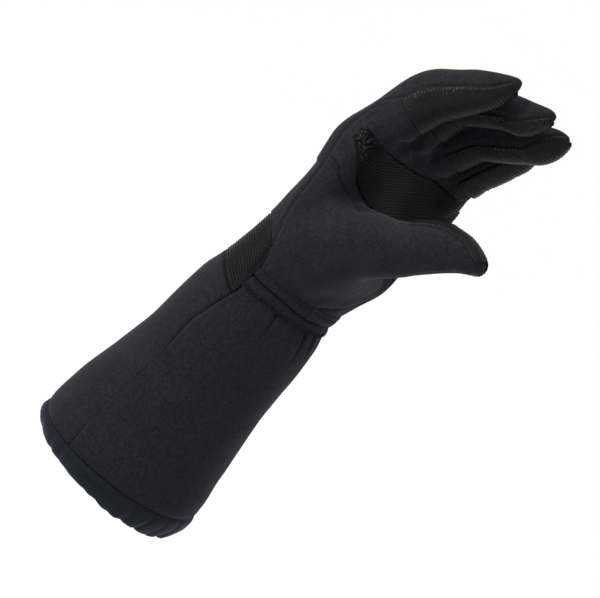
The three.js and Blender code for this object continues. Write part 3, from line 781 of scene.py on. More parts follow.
m = measures(skin)
everywhere = np.ones(len(skin), bool)
skin = slide_to(skin, skin_edges, m["below"], everywhere)
m = measures(skin)
kept = m["below"] < TOUCHING
body = kept & (m["finger"] < TOUCHING)
skin = slide_to(skin, skin_edges, m["finger"], kept & (np.abs(m["finger"]) < NEAR))
m = measures(skin)
skin = slide_to(skin, skin_edges, m["front"], body & (np.abs(m["front"]) < NEAR))
m = measures(skin)
on_front = body & (m["front"] > -0.2)
skin = slide_to(skin, skin_edges, m["thumb"], on_front & (np.abs(m["thumb"]) < NEAR))
labels = share_out(measures(skin[skin_faces].mean(1)))
print("faces of each piece:", np.bincount(labels))


# %% [markdown]
# ## Seams and soft unevenness
#
# A seam pulls the cloth in along a line, and the turned edges beneath it lift the cloth on
# either side. The seam between palm and thumb lies in the fold of the palm, so the thumb's side
# of it swells. Below each finger's grip the plain knit stands out as a soft pad. All of this
# could be sculpted with a brush, but distances to the seams shape it the same way on each run.

# %% Find the seams
def faces_of_edges(faces):
    """Each edge between two faces, with those faces."""
    pairs = np.sort(np.concatenate([faces[:, [0, 1]], faces[:, [1, 2]], faces[:, [2, 0]]]), 1)
    owner = np.tile(np.arange(len(faces)), 3)
    order = np.lexsort((pairs[:, 1], pairs[:, 0]))
    pairs, owner = pairs[order], owner[order]
    same = (pairs[1:] == pairs[:-1]).all(1)
    return pairs[:-1][same], owner[:-1][same], owner[1:][same]


edges, face_a, face_b = faces_of_edges(skin_faces)
lab_a, lab_b = labels[face_a], labels[face_b]
low, high = np.minimum(lab_a, lab_b), np.maximum(lab_a, lab_b)
real = (low != high) & (low > NONE) & (high < FIRST_FINGER)
seam_edges = edges[real]
seam_spots = np.concatenate(
    [skin[seam_edges[:, 0]] * (1 - t) + skin[seam_edges[:, 1]] * t for t in (0, 0.33, 0.66)]
)

# The grips' edges are seams too, from the web of the fingers to the tip
finger_seam_lines = []
for name, finger in FINGERS.items():
    s = np.arange(FINGER_BASE - 3, grip_end(finger), 0.4)
    for side, turned in ((0, -1.5), (1, 1.5)):
        degrees = grip_edge(finger, s, side) + turned
        if name == "index" and side == 0:
            degrees -= 26 * (1 - smoothstep(s, 18, 36))  # from the seam at the side of the hand
        finger_seam_lines.append(finger_point(finger, s, degrees))
print("seam length, mm:", round(len(seam_edges) * VOXEL), "finger seams:", len(finger_seam_lines))


# %% Folds and pads where the fingers meet the palm
# depth and half width of each fold, with points on it
FOLDS = [
    (2.2, 2.3, [(26.4, -28.6, 233.8), (23.6, -19.9, 234.1), (23.7, -16.1, 234.8),
                (23.5, -15.4, 237.9), (23, -16.3, 241.6)]),
    (2.1, 2.1, [(23.8, -14.5, 236.4), (23.8, -12.7, 234.8), (23.7, -9.5, 232.9),
                (23.6, -6.1, 231.1), (23.6, -3.7, 230.1)]),
    (2.1, 2.1, [(22.9, -0.8, 240.7), (22.9, 2.3, 237.5), (24.6, 3.9, 234.9), (26.1, 6.3, 232.5),
                (27.1, 10.7, 230.6), (25.9, 18.6, 229.7)]),
    (1.9, 2.1, [(28.4, 23.6, 230.4), (30.2, 25, 228.4), (33, 26, 227), (33.8, 31.3, 227.1),
                (33.4, 35.8, 228)]),
]
# height, radius and middle of each pad; below 0 the cloth is pressed in
PADS = [
    (1.3, 7, (25, -37, 240)),
    (1.1, 4.5, (23.6, -16.8, 230.9)),
    (1.1, 4.5, (23.7, 2.6, 229.8)),
    (1.0, 5, (25, -8.4, 237.6)),
    (1.2, 5.5, (27.8, 5.2, 237.8)),
    (1.1, 5, (31.4, 24.7, 232.5)),
    (-4.2, 9, (34.5, -30, 200.5)),
    (-1.2, 8, (50, -32, 205)),
]
print("folds and pads:", len(FOLDS), len(PADS))


# %% Shape the skin beside its seams
def distance_to(points, spots):
    tree = KDTree(len(spots))
    for i, spot in enumerate(spots):
        tree.insert(Vector(spot), i)
    tree.balance()
    return np.array([tree.find(Vector(p))[2] for p in points])


to_seam = distance_to(skin, seam_spots)
to_finger_seam = distance_to(skin, np.concatenate(finger_seam_lines))
normals = point_normals(skin, skin_faces)
m = measures(skin)
lift = -0.6 * bell(to_seam, 0.7) + 0.18 * bell(to_seam - 2.2, 1.5)
by_fold = (m["front"] > 4) & (skin[:, 0] > 18) & (skin[:, 2] < 190)
lift += by_fold * np.where(
    m["thumb"] > 0, 0.7 * bell(m["thumb"] - 4.5, 4.0), -0.7 * bell(m["thumb"], 2.0)
)
lift += -0.5 * bell(to_finger_seam, 0.6) + 0.2 * bell(to_finger_seam - 1.8, 1.0)

# The cloth sinks a little where each finger's grip begins
for k, (name, finger) in enumerate(FINGERS.items()):
    own = np.flatnonzero((m["which"] == k) & (m["finger"] > -18))
    s = m["finger"][own] + FINGER_BASE
    facing = np.einsum("ij,ij->i", normals[own], along_finger(finger, "palm", s))
    begin = np.mean(finger["begin"])
    lift[own] -= 0.7 * bell(s - begin + 1.2, 1.3) * np.clip(facing, 0, 1)
    if name == "index":
        lift[own] += 1.7 * bell(s - 40, 15) * np.clip(-facing, 0, 1)
swell, creased = np.zeros(len(skin)), np.zeros(len(skin))
for depth, width, line in FOLDS:
    line = np.array(line)
    spots = np.concatenate([line[:-1] * (1 - t) + line[1:] * t for t in np.linspace(0, 1, 9)])
    to_fold = distance_to(skin, spots)
    swell -= depth * bell(to_fold, width)
    creased = np.maximum(creased, bell(to_fold, 5))
for height, radius, spot in PADS:
    swell += height * bell(np.linalg.norm(skin - np.array(spot), axis=1), radius)
lift += waves(skin, 26, 0.7) + waves(skin, 9, 0.2, seed=3.1)
soft_normals = normals
for _ in range(12):
    soft_normals = neighbour_mean(soft_normals, skin_edges)
soft_normals /= np.linalg.norm(soft_normals, axis=1)[:, None]
skin = skin + lift[:, None] * normals + swell[:, None] * soft_normals
skin = skin + 0.25 * (neighbour_mean(skin, skin_edges) - skin)
for _ in range(int(4 / VOXEL)):
    skin = skin + 0.5 * creased[:, None] * (neighbour_mean(skin, skin_edges) - skin)
normals = point_normals(skin, skin_faces)
print("lift from, to, mm:", round(float(lift.min()), 2), round(float(lift.max()), 2))


# %% [markdown]
# ## The knit pieces of the hand
#
# Each piece takes its share of the skin, gets a lining side 2.2 mm within, and is closed round
# its edges. Its shading still comes from the whole skin, so that where cloth runs on from the
# hand into a finger, no line shows.

# %% Pieces of the skin
inner_normals = normals.copy()
for _ in range(6):
    inner_normals = neighbour_mean(inner_normals, skin_edges)
inner_normals /= np.linalg.norm(inner_normals, axis=1)[:, None]


SLIT = 0.15
on_seam = np.zeros(len(skin), bool)
on_seam[seam_edges.ravel()] = True


def skin_piece(name, label, nodes):
    own = skin_faces[labels == label]
    used, faces = np.unique(own, return_inverse=True)
    faces = faces.reshape(-1, 3)
    outer, count, out = skin[used], len(used), normals[used]
    inward = neighbour_mean(outer, edges_of(faces)) - outer
    inward -= np.einsum("ij,ij->i", inward, out)[:, None] * out
    inward /= np.maximum(np.linalg.norm(inward, axis=1), 1e-6)[:, None]
    outer = outer + np.where(on_seam[used], SLIT, 0)[:, None] * (inward - 1.2 * out)
    inner = outer - KNIT_THICKNESS * inner_normals[used]
    directed = np.concatenate([faces[:, [0, 1]], faces[:, [1, 2]], faces[:, [2, 0]]])
    keys = directed[:, 0] * count + directed[:, 1]
    twins = directed[:, 1] * count + directed[:, 0]
    border = directed[~np.isin(keys, twins)]
    a, b = border.T
    rim = np.stack([b, a, a + count, b + count], -1)
    rim = np.concatenate([rim[:, [0, 1, 2]], rim[:, [0, 2, 3]]])
    piece = mesh_piece(
        name,
        np.concatenate([outer, inner]),
        np.concatenate([faces, faces[:, ::-1] + count, rim]),
        knit,
        replaces=nodes,
        slot="knit",
        normals=np.concatenate([normals[used], -normals[used]]),
    )


skin_piece("back_of_hand", BACK, ["hand_back"])
skin_piece("palm_knit", PALM, ["hand_palm"])
skin_piece("thumb_knit", THUMB_SIDE, ["thumb"])
for k, name in enumerate(FINGERS):
    skin_piece(f"{name}_knit", FIRST_FINGER + k, [f"{name}_finger"])

# %% [markdown]
# ## Gauntlet
#
# Two panels of the same knit run from the hem to the wrist. Cloth that is drawn in by an
# elastic gathers into tucks, deep at the band and soon gone below it. The tucks could be left
# to a cloth simulation, but here the few deep ones stand where the photograph shows them. The
# side seam lies flat and almost out of sight in the middle of the gauntlet.

# %% Gathers and soft folds
GATHERS = table(
    "angle depth width reach",
    [
        (-66, 0.3, 4, 10),
        (-53, 0.35, 4, 12),
        (-43, 0.4, 3.5, 10),
        (-33, 2.6, 1.3, 8),
        (-23, 0.4, 3.5, 10),
        (-12, 0.45, 4, 14),
        (-4, 0.4, 3, 9),
        (2.5, 2.8, 1.7, 10.5),
        (10, 0.4, 2.6, 9),
        (17, 2.8, 2.2, 7),
        (27, 0.5, 4, 9),
        (38, 0.6, 4, 9),
        (50, 0.6, 4, 12),
        (63, 0.5, 4, 12),
        (76, 0.4, 4, 12),
    ],
)


# Rough radii in millimetres, which turn degrees into distances round the arm
FOREARM_RADIUS, WRIST_RADIUS = 40, 37


def seam_share(z):
    """How plainly a side seam shows at each height of the gauntlet."""
    return 0.08 + 0.92 * smoothstep(z, 68, 96) + 0.6 * (1 - smoothstep(z, 16, 34))


def gauntlet_outset(degrees, z):
    """How far the gauntlet's cloth stands in or out of the plain arm."""
    total = np.zeros(np.broadcast(degrees, z).shape)
    below_band = np.maximum(GAUNTLET_TOP - z, 0)
    for angle, depth, width, reach in zip(*GATHERS.values()):
        total -= depth * bell(degrees - angle, width) * np.exp(-((below_band / reach) ** 1.6))
    for side, turn in (("thumb", 0), ("little", 0), ("thumb", 360)):
        off = degrees - column(SEAMS, "z", side, z) - turn
        reach = np.abs(np.radians(off)) * FOREARM_RADIUS
        total -= seam_share(z) * (0.6 * bell(reach, 0.8) + 0.5 * bell(off, 6))
        total += 0.25 * seam_share(z) * bell(reach - 2.6, 1.6)
    total -= 0.6 * bell(z - HEM_TOP, 1.4)
    return total


def panel_grid(rows, columns, bottom, top, start, end):
    """Angles and heights of a grid between a lower and an upper edge and two seams."""
    share, across = np.linspace(0, 1, rows)[:, None], np.linspace(0, 1, columns)[None]
    z = np.full((rows, columns), 100.0)
    for _ in range(3):
        degrees = start(z) + (end(z) - start(z)) * across
        low = bottom(degrees[:1])
        z = low + (top(degrees[-1:]) - low) * share
    return degrees, z


def uneven(degrees, z, to_edge):
    """Soft unevenness of the arm's cloth, which fades towards the edges of each panel."""
    plain = arm_point(degrees, z)
    swells = waves(plain, 34, 0.9, seed=5.0) + waves(plain, 12, 0.25, seed=9.0)
    return swells * smoothstep(to_edge, 0, 6)


def arm_panel(grid, outset, thickness):
    """The outer and the inner face of cloth over a grid of the arm."""
    degrees, z = grid
    out = outset(degrees, z) + uneven(degrees, z, np.minimum(z - z[0], z[-1] - z))
    return arm_point(degrees, z, out), arm_point(degrees, z, out - thickness)


def level(z):
    return lambda degrees: np.full(degrees.shape, float(z))


def thumb_seam(z):
    return column(SEAMS, "z", "thumb", z)


def little_seam(z):
    return column(SEAMS, "z", "little", z)


def seam_gap(z):
    return 0.02 + 0.16 * seam_share(z)


rows = 98
grid = panel_grid(
    rows, 251, level(HEM_TOP + GAP), level(GAUNTLET_TOP),
    lambda z: thumb_seam(z) + seam_gap(z), lambda z: little_seam(z) - seam_gap(z),
)
front = mesh_piece(
    "gauntlet_front_knit", *cloth_solid(*arm_panel(grid, gauntlet_outset, KNIT_THICKNESS)), knit,
    ["gauntlet_front"], "knit",
)
grid = panel_grid(
    rows, 161, level(HEM_TOP + GAP), lambda degrees: edge_height(STRETCH_LOW, degrees) - GAP,
    lambda z: little_seam(z) + seam_gap(z), lambda z: thumb_seam(z) + 360 - seam_gap(z),
)
back = mesh_piece(
    "gauntlet_back_knit", *cloth_solid(*arm_panel(grid, gauntlet_outset, KNIT_THICKNESS)), knit,
    ["gauntlet_back"], "knit",
)

# %% [markdown]
# ## Wrist band
#
# The elastic runs in a casing of the knit: two soft rolls with a sharp crease between them. The
# crease slants down across the wrist. Each roll is sewn down by a row of stitches that sink
# into the cloth. A grid with a profile across it holds all of that.

# %% The gathered casing
BAND_BOTTOM = GAUNTLET_TOP + FINE_GAP
STITCH_STEP, BAND_THICKNESS = 2.35, 1.8
BAND_LINES = table(
    "angle crease upper lower",
    [
        (-80, 138.6, 142.6, 131.6),
        (-50, 137.2, 142.0, 131.6),
        (-15, 135.9, 141.2, 131.6),
        (40, 135.2, 140.4, 131.6),
        (100, 135.2, 140.2, 131.6),
    ],
)
pleat_spots = np.linspace(-74, 92, 30) + rng.uniform(-1.8, 1.8, 30)
pleat_depths = rng.uniform(0.05, 0.28, 30)


def band_line(name, degrees):
    return column(BAND_LINES, "angle", name, degrees)


def band_outset(degrees, z):
    crease = band_line("crease", degrees) + 0.35 * np.sin(np.radians(degrees * 7))
    low = np.clip((z - BAND_BOTTOM) / (crease - BAND_BOTTOM), 0, 1)
    high = np.clip((z - crease) / (BAND_TOP - crease), 0, 1)
    roll = 1.4 * np.sin(np.pi * low**0.8) ** 0.9 + 1.3 * np.sin(np.pi * high) ** 0.5 - 0.3
    total = roll - 2.1 * bell(z - crease + 0.1, 0.5)
    for spot, depth in zip(pleat_spots, pleat_depths):
        total -= depth * bell(degrees - spot - 1.5 * np.sin(3 * low), 1.7)
    pulled = (0.5 + 0.5 * np.cos(2 * np.pi * degrees / STITCH_STEP)) ** 2
    for name in ("upper", "lower"):
        total -= 0.5 * (0.2 + 0.8 * pulled) * bell(z - band_line(name, degrees), 0.9)
    return total


grid = panel_grid(
    54, 361, level(BAND_BOTTOM), level(BAND_TOP),
    lambda z: thumb_seam(z) + seam_gap(z), lambda z: little_seam(z) - seam_gap(z),
)
band = mesh_piece(
    "wrist_band_knit", *cloth_solid(*arm_panel(grid, band_outset, BAND_THICKNESS)), knit,
    ["wrist_band"], "knit",
)

# %% [markdown]
# ## Ribbed cloths
#
# The stretch patch and the grips are cloth with ribs under two millimetres apart, broken into
# small dots by the threads that cross them. At this scale a bump map looks flat where the light
# grazes it, so the ribs are real: about every fifth row of a fine grid is a crest.

# %% The height of ribs and dots
def ribs(u, v, pitch_u, pitch_v, height, dots):
    """Ribs with dots on them. u and v are millimetres across and along the ribs."""
    row = np.floor(u / pitch_u)
    across = 0.5 - 0.5 * np.cos(2 * np.pi * u / pitch_u)
    along = 0.5 - 0.5 * np.cos(2 * np.pi * (v / pitch_v + 0.5 * (row % 2)))
    return height * across**0.8 * (1 - dots + dots * along)


PATCH_WIDE, PATCH_RIB, PATCH_THICKNESS = 32, 1.6, 1.5


def stretch_outset(degrees, z):
    share = (z - z[0]) / (z[-1] - z[0])
    arc = np.radians(degrees) * WRIST_RADIUS
    wander = 0.5 * np.sin(arc / 9)
    rows = ribs(share * PATCH_WIDE + wander, arc, PATCH_RIB, PATCH_RIB, 0.6, 0.65)
    edge = np.minimum(z - z[0], z[-1] - z)
    return 0.9 * np.sin(np.pi * share) - 1.2 + 0.8 * smoothstep(edge, 0, 1.5) + rows


grid = panel_grid(
    106, 301,
    lambda degrees: edge_height(STRETCH_LOW, degrees),
    lambda degrees: edge_height(STRETCH_HIGH, degrees),
    lambda z: little_seam(z) + seam_gap(z), lambda z: thumb_seam(z) + 360 - seam_gap(z),
)
patch = mesh_piece(
    "stretch_patch", *cloth_solid(*arm_panel(grid, stretch_outset, PATCH_THICKNESS)),
    stretch_cloth, ["wrist_stretch_panel"], "stretch_cloth",
)

# %% [markdown]
# ## Lining
#
# The arm's pieces are sewn to one inner layer, which also closes the fine gaps between them, so
# that no light falls through a seam. It follows the folds of the gauntlet, and lies deeper under
# the wrist band and the stretch patch, which are pulled in. From outside only the cuff's mouth
# shows it.

# %% One layer inside the arm
LINING_THICKNESS, LINING_COLUMNS = 0.4, 240


def lining_outset(degrees, z):
    over_band = smoothstep(z, 144, 148)
    under_band = smoothstep(z, 126, 131) - over_band
    depth = 2.5 + 2.2 * under_band + 0.9 * over_band
    return gauntlet_outset(degrees, z) - depth + uneven(degrees, z, 122 - z)


# Few rows up the plain gauntlet, and close ones where the tucks under the wrist band begin
heights = np.concatenate([np.linspace(11.3, 110, 13)[:-1], np.linspace(110, 171, 34)])[:, None]
degrees = (thumb_seam(0.0) + np.arange(LINING_COLUMNS) * 360 / LINING_COLUMNS)[None] + 0 * heights
out = lining_outset(degrees, heights)
outer = arm_point(degrees, heights, out)
inner = arm_point(degrees, heights, out - LINING_THICKNESS)
lining = mesh_piece("arm_lining", *cloth_solid(outer, inner, closed=True), knit, slot="knit")

# %% [markdown]
# ## Hem
#
# The mouth is finished with a turned hem that an elastic draws in, so its edge puckers. It is a
# closed ring: a profile goes round the cloth's turn, and each point of it is pushed by puckers
# that grow towards the free edge.

# %% The puckered hem
HEM_PROFILE = table(
    "out up",
    [
        (-0.9, 1.0),
        (0.2, 0.93),
        (0.9, 0.8),
        (1.1, 0.6),
        (0.5, 0.4),
        (-0.4, 0.22),
        (-1.5, 0.08),
        (-2.6, 0.01),
        (-3.8, 0.02),
        (-4.8, 0.12),
        (-4.6, 0.4),
        (-3.6, 0.7),
        (-2.9, 1.0),
    ],
)
MOUTH_TILT, MOUTH_LOW_SIDE = 9, 40
hem_columns = 480
degrees = np.arange(hem_columns)[None] / hem_columns * 360
pucker = np.zeros_like(degrees)
for spot in np.arange(0, 360, 12.5) + rng.uniform(-5, 5, 29):
    off = (degrees - spot + 180) % 360 - 180
    pucker -= rng.uniform(0.15, 1.05) * bell(off, rng.uniform(1.6, 4.2))
low_edge = -MOUTH_TILT / 2 * np.cos(np.radians(degrees - MOUTH_LOW_SIDE))
steps = np.linspace(0, len(HEM_PROFILE["up"]) - 1, 37)
row_numbers = np.arange(len(HEM_PROFILE["up"]), dtype=float)
profile = {"row": row_numbers, **HEM_PROFILE}
out = column(profile, "row", "out", steps)[:, None]
up = np.clip(column(profile, "row", "up", steps), 0, 1)[:, None]
loose = (1 - up) ** 0.7
z = low_edge + (HEM_TOP - low_edge) * up - 0.45 * pucker * loose
seam_dip = 0.6 * bell((degrees + 82 + 180) % 360 - 180, 2.5) + 0.6 * bell(degrees - 98, 2.5)
hem = arm_point(degrees, z, out + (0.35 + 0.65 * loose) * pucker + 0.5 - seam_dip)
hem[..., 2] += waves(hem, 18, 0.9, seed=21.0) * loose + waves(hem, 7, 0.35, seed=23.0) * loose
count = hem.shape[0]
faces = grid_faces(count, hem_columns, closed=True, flip=True)
c = np.arange(hem_columns)
n = (c + 1) % hem_columns
last = (count - 1) * hem_columns
faces = np.concatenate([faces, np.stack([c, last + c, last + n, n], -1)])
hem_piece = mesh_piece("hem_edge", hem.reshape(-1, 3), faces, hem_knit, ["hem_band"], "hem_knit")

# %% [markdown]
# ## Grips
#
# The grips lie on the knit. Their grids are laid out along the finger, then each point is put
# down on the finished skin, so that they follow its folds, and raised by its rib. A shrinkwrap
# modifier would do the first half, but the rib has to be added along the skin's own smooth
# normal. Towards the edge the cloth thins out and turns under its stitching.

# %% Lay a grid on the skin
skin_tree = BVHTree.FromPolygons([Vector(p) for p in skin], skin_faces.tolist())
GRIP_HEIGHT, EDGE = 0.7, 1.1


def softened(grid, rounds):
    """A grid whose inner points are drawn to the mean of their neighbours."""
    grid = grid.copy()
    for _ in range(rounds):
        mean = (grid[:-2, 1:-1] + grid[2:, 1:-1] + grid[1:-1, :-2] + grid[1:-1, 2:]) / 4
        grid[1:-1, 1:-1] += 0.6 * (mean - grid[1:-1, 1:-1])
    return grid


def lay_on_skin(grid):
    """The nearest points of the skin to a grid of points, and the way out of it there."""
    found = [skin_tree.find_nearest(Vector(p)) for p in grid.reshape(-1, 3)]
    spots = np.array([tuple(f[0]) for f in found]).reshape(grid.shape)
    corners = skin_faces[[f[2] for f in found]]
    ways = softened(normals[corners].mean(1).reshape(grid.shape), 8)
    return softened(spots, 4), ways / np.linalg.norm(ways, axis=-1)[..., None]


def steps_along(grid, axis):
    """Millimetres from the start of a grid along one of its directions."""
    lengths = np.linalg.norm(np.diff(grid, axis=axis), axis=-1)
    return np.cumsum(np.insert(lengths, 0, 0, axis=axis), axis=axis)


def raised(edge, rib):
    """Height of the grip's face over the skin: thin at its edge, ribbed within."""
    t = np.clip(edge / EDGE, 0, 1)
    return 0.06 + GRIP_HEIGHT * np.sqrt(1 - (1 - t) ** 2) + rib * smoothstep(edge, 0.1, 0.8)


def grip_piece(name, spots, ways, height, faces, finish=grip_cloth):
    """Makes a grip, with its faces turned outwards."""
    outer = (spots + height[..., None] * ways).reshape(-1, 3)
    a, b, c = outer[faces[:, 0]], outer[faces[:, 1]], outer[faces[:, 2]]
    if np.einsum("ij,ij->i", np.cross(b - a, c - a), ways.reshape(-1, 3)[faces[:, 0]]).mean() < 0:
        faces = faces[:, ::-1]
    used, faces = np.unique(faces, return_inverse=True)
    piece = mesh_piece(
        f"{name}_cloth", outer[used], faces.reshape(-1, 4), finish, [name], "grip_cloth"
    )


# %% Finger grips
RIB, DOT, RIB_HEIGHT, GRIP_DOTS = 1.65, 1.5, 0.5, 0.35
ROW, COLUMN = ((0.32, 0.42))
# The shares of a grip's length between which its edge gets painted glints, where highlights fall
# on the ribs
GLINT_SPANS = {"index": (0.02, 0.62), "middle": (0.3, 0.72), "ring": (0.42, 0.72)}
painted_glints = []


def grip_heights(spots):
    """Millimetres along and across a grip's grid, and its ribbed height over the skin."""
    along, across = steps_along(spots, 0), steps_along(spots, 1)
    edge = np.minimum(np.minimum(across, across[:, -1:] - across), along)
    return along, across, raised(edge, ribs(along, across, RIB, DOT, RIB_HEIGHT, GRIP_DOTS))


def place_painted_glints(spots, ways, height, row, col):
    """Keeps places for painted glints on a grip, pale bars where highlights fall, with the way
    that each one lies.
    """
    centre = spots[row, col] + (height[row, col] - 0.08)[:, None] * ways[row, col]
    aside = spots[row, col + 2] - spots[row, col]
    aside /= np.linalg.norm(aside, axis=1)[:, None]
    turn = rng.uniform(-0.5, 0.5, len(row))[:, None]
    aside = aside + turn * np.cross(ways[row, col], aside)
    painted_glints.append((centre, aside * rng.uniform(0.5, 1.1, len(row))[:, None], ways[row, col]))


for name, finger in FINGERS.items():
    last, begin = grip_end(finger), finger["begin"]
    columns = int(np.radians(130) * 11 / COLUMN)
    across_share = np.linspace(0, 1, columns)[None]
    first = begin[0] + (begin[1] - begin[0]) * across_share

    # Rows at even steps along the surface, also round the fingertip
    fine, middle = np.linspace(0, 1, 400)[:, None], np.mean(begin)
    path = steps_along(finger_point(finger, middle + fine * (last - middle), 0.0), 0)
    rows = int(path[-1, 0] / ROW)
    share = np.interp(np.linspace(0, path[-1, 0], rows), path[:, 0], fine[:, 0])[:, None]
    s = first + share * (last - first)
    low, high = [grip_edge(finger, s[:, [k]], -k) for k in (0, -1)]
    degrees = low + (high - low) * across_share
    spots, ways = lay_on_skin(finger_point(finger, s, degrees, 0.6))
    along, across, height = grip_heights(spots)
    for joint in finger["joints"][1:-1]:
        height = height - 0.3 * bell(s - joint, 1.6) - 0.2 * bell(s - joint - 4, 1.2)
    grip_piece(
        f"{name}_grip", spots, ways, height, grid_faces(rows, columns)
    )
    if name in GLINT_SPANS:
        row = np.searchsorted(along[:, 2], np.repeat(np.arange(RIB / 2, along[-1, 2], RIB), 3))
        row = row[(share[row, 0] > GLINT_SPANS[name][0]) & (share[row, 0] < GLINT_SPANS[name][1])]
        row = row[rng.random(len(row)) < 0.6]
        inset = 0.8 + rng.exponential(0.8, len(row)) * (1 + 3 * (share[row, 0] < 0.12))
        col = np.clip((across[row] < inset[:, None]).sum(1), 2, columns - 4)
        place_painted_glints(spots, ways, height, row, col)

# %% Thumb grip
thumb_rows, columns = ((170, 104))
at = np.linspace(3.5, 5.93, thumb_rows)[:, None]
near_edge = -50 - 30 * smoothstep(at, 5.3, 6)
degrees = near_edge + (140 - near_edge) * np.linspace(0, 1, columns)[None]
spots, ways = lay_on_skin(thumb_point(at, degrees, 0.6))
along, across, height = grip_heights(spots)
grip_piece(
    "thumb_grip", spots, ways, height, grid_faces(thumb_rows, columns)
)
print("thumb grip length, mm:", round(float(along[-1, columns // 2]), 1))

# %% Palm grip
PALM_PATCH = np.array(
    [
        (-43, 230), (-34, 227.5), (-20, 226), (2, 226), (12, 228), (24, 227.5), (34, 226.5),
        (43, 222), (46, 214), (44, 202), (35, 188), (18, 180), (4, 184), (-4, 193.5),
        (-14, 199.3), (-22, 201.2), (-29.5, 204.5), (-34.5, 209), (-39.5, 215), (-42.3, 219),
        (-45, 224.5),
    ]
)


TURN_Y, TURN_Z = -13, 209.5


def patch_ribs(y, z):
    """The ribs turn round a point beside the thumb's ball, then run straight across the palm."""
    right = 1.026 * (y - TURN_Y) + 1.226 * (z - TURN_Z)
    down = 0.666 * (y - TURN_Y) - 1.644 * (z - TURN_Z)
    turning = np.hypot(1.5 * np.minimum(right, 0), down - 0.1 * np.maximum(right, 0))
    turning += 1.1 * smoothstep(right, 22, 34) * np.sin(right / 5.5)
    dots = 0.3 + 0.5 * smoothstep(-right, 2, 14)
    return ribs(0.64 * turning, 0.7 * np.where(right < 0, down, right), 1.9, 1.5, 0.48, dots)


zs = np.arange(178, 232.5, ROW)[:, None]
degrees = np.arange(-96, 98, COLUMN / 44 * 57.3)[None]
spots, ways = lay_on_skin(arm_point(degrees, zs, 0.8))
y, z = spots[..., 1], spots[..., 2]
middle = np.argmin(np.abs(degrees))
unrolled = steps_along(spots, 1)
unrolled = unrolled - unrolled[:, middle : middle + 1]
inside = outline_depth(PALM_PATCH, y.ravel(), z.ravel()).reshape(y.shape)
inside = np.minimum(inside, spots[..., 0] - 13.5)
scallops = 0.25 * np.sin(unrolled / 1.1)
height = raised(np.maximum(inside + scallops, 0), patch_ribs((y + unrolled) / 2, z))
# Painted glints at the palm patch's upper corner: pale glossy bars where highlights fall on its
# ribs
corner = (inside > 1) & (y < -37) & (z > 216)
row, col = np.nonzero(corner & (rng.random(corner.shape) < 0.035))
place_painted_glints(spots, ways, height, row, col)
print("glossy threads at the patch's upper corner:", len(row))
faces = grid_faces(*y.shape)
faces = faces[(inside.ravel()[faces] > -0.2).all(1)]
# The palm grip takes the ribbed cloth that is painted darker as shade
grip_piece("palm_grip", spots, ways, height, faces, palm_grip_painted_shade)

# %% [markdown]
# ## Stitches
#
# The wrist band is sewn down with close zigzag stitches, which show as short dark bars across
# the seam. Each is a small bar with rounded ends, and all the bars along a line are one mesh.

# %% Rows of stitches
def bars(centres, ways, ups, length, width, thick):
    """Small rounded bars along the given directions, as points and faces."""
    sides, rings = 6, 5
    angles = np.arange(sides) / sides * 2 * np.pi
    t = np.linspace(-1, 1, rings)
    fat = np.sqrt(np.clip(1 - np.abs(t) ** 3, 0.05, 1))
    third = np.cross(ways, ups)
    points, faces = [], []
    ring = grid_faces(rings, sides, closed=True)
    for i, (c, a, u, w) in enumerate(zip(centres, ways, ups, third)):
        shape = (
            c
            + t[:, None, None] * a * length / 2
            + fat[:, None, None] * np.cos(angles)[None, :, None] * u * thick / 2
            + fat[:, None, None] * np.sin(angles)[None, :, None] * w * width / 2
        )
        points.append(shape.reshape(-1, 3))
        faces.append(ring + i * rings * sides)
    return np.concatenate(points), np.concatenate(faces)


# Painted glints: pale glossy bars near the grips' edges and at the palm patch's corner, placed
# where highlights fall on the ribs
centres, asides, outs = [np.concatenate(parts) for parts in zip(*painted_glints)]
points, faces = bars(centres, asides, outs, 1.0, 0.5, 0.4)
mesh_piece("grip_edge_painted_glints", points, faces, painted_glint_thread, slot="grip_cloth")


def band_stitches(name, line, rows, length, width):
    """Stitches in the small hollows along a line. rows: height over it, share of a step, slant."""
    parts = []
    for rise, shift, slant in rows:
        degrees = (np.arange(-30, 38) + shift) * STITCH_STEP
        z = band_line(line, degrees) + rise
        to_edge = np.minimum(z - BAND_BOTTOM, BAND_TOP - z)
        out = band_outset(degrees, z) + uneven(degrees, z, to_edge)
        centres = arm_point(degrees, z, out)
        around = arm_point(degrees + 1, z, out) - centres
        around /= np.linalg.norm(around, axis=1)[:, None]
        ways = arm_point(degrees, z + 1, out) - centres + slant * around
        ways /= np.linalg.norm(ways, axis=1)[:, None]
        ups = np.cross(around, ways)
        parts.append((centres, ways, ups / np.linalg.norm(ups, axis=1)[:, None]))
    points, faces = bars(*[np.concatenate(part) for part in zip(*parts)], length, width, 0.36)
    mesh_piece(name, points, faces, thread, slot="knit")


band_stitches("band_stitches_high", "upper", [(0, 0, 0.35)], 2.0, 0.65)
band_stitches("band_stitches_low", "lower", [(0.8, 0, 0.4), (-0.5, 0.5, -0.4)], 1.6, 0.6)

# %% [markdown]
# ## Camera, light and floor
#
# The photograph is a cut-out on white, taken from far off, so the light is broad and even. A
# pale floor lies far enough below the glove that no shadow touches it, and the world is white.

# %% Camera
AZIMUTH, ELEVATION, ROLL = np.radians([36, 10, 40.6])
TARGET = np.array([24.25, -4.98, 140.6]) * MM
to_camera = np.array(
    [
        np.sin(AZIMUTH) * np.cos(ELEVATION),
        -np.cos(AZIMUTH) * np.cos(ELEVATION),
        np.sin(ELEVATION),
    ]
)
sideways = np.cross(-to_camera, [0, 0, 1])
sideways /= np.linalg.norm(sideways)
upright = np.cross(sideways, -to_camera)
image_right = np.cos(ROLL) * sideways + np.sin(ROLL) * upright
image_up = -np.sin(ROLL) * sideways + np.cos(ROLL) * upright

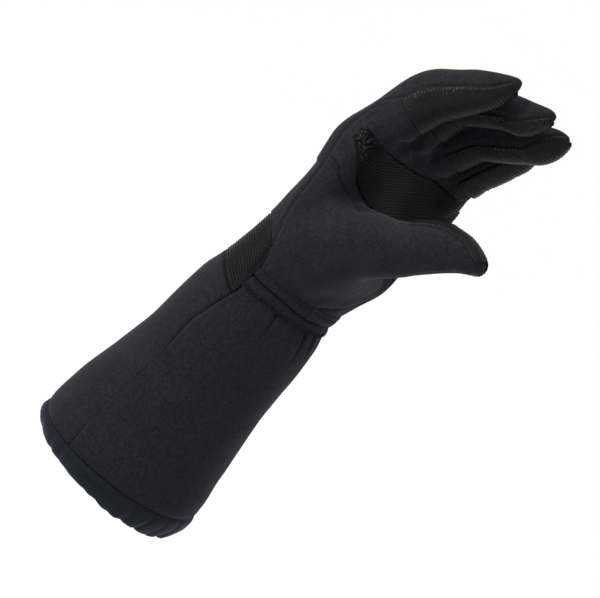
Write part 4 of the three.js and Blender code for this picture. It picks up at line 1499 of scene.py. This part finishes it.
camera_data = bpy.data.cameras.new("camera")
camera_data.sensor_width = 36
camera_data.lens = 120
camera = bpy.data.objects.new("camera", camera_data)
bpy.context.scene.collection.objects.link(camera)
axes = Matrix((image_right, image_up, to_camera)).transposed()
camera.matrix_world = Matrix.Translation(Vector(TARGET + to_camera)) @ axes.to_4x4()
bpy.context.scene.camera = camera
print("camera at, m:", [round(v, 3) for v in camera.location])

# %% World, floor and lamps
scene = bpy.context.scene
scene.view_settings.view_transform = "Standard"
world = bpy.data.worlds.new("white_world")
scene.world = world
world.use_nodes = True
world.node_tree.nodes["Background"].inputs["Color"].default_value = (1, 1, 1, 1)
world.node_tree.nodes["Background"].inputs["Strength"].default_value = 1.0

floor_mesh = bpy.data.meshes.new("floor")
FAR, UNDER = 200, -0.5
corners = [(-FAR, -FAR, UNDER), (FAR, -FAR, UNDER), (FAR, FAR, UNDER), (-FAR, FAR, UNDER)]
floor_mesh.from_pydata(corners, [], [(0, 1, 2, 3)])
floor = bpy.data.objects.new("floor", floor_mesh)
scene.collection.objects.link(floor)
floor_paint = bpy.data.materials.new("pale_floor")
floor_paint.use_nodes = True
floor_shader = floor_paint.node_tree.nodes["Principled BSDF"]
floor_shader.inputs["Base Color"].default_value = (1, 1, 1, 1)
floor_shader.inputs["Roughness"].default_value = 0.9
floor_mesh.materials.append(floor_paint)


def lamp(name, where, size, power):
    data = bpy.data.lights.new(name, "AREA")
    data.size = size
    data.energy = power
    made = bpy.data.objects.new(name, data)
    scene.collection.objects.link(made)
    made.location = Vector(where)
    made.rotation_euler = (Vector(TARGET) - Vector(where)).to_track_quat("-Z", "Y").to_euler()


lamp("key", TARGET + 0.9 * (0.68 * to_camera + 0.62 * image_up - 0.36 * image_right), 0.2, 5)
lamp("top", TARGET + 0.9 * (0.2 * to_camera + 0.9 * image_up - 0.05 * image_right), 0.5, 4.5)
lamp("fill", TARGET + 1.1 * (0.6 * to_camera - 0.2 * image_up + 0.9 * image_right), 0.8, 0.5)
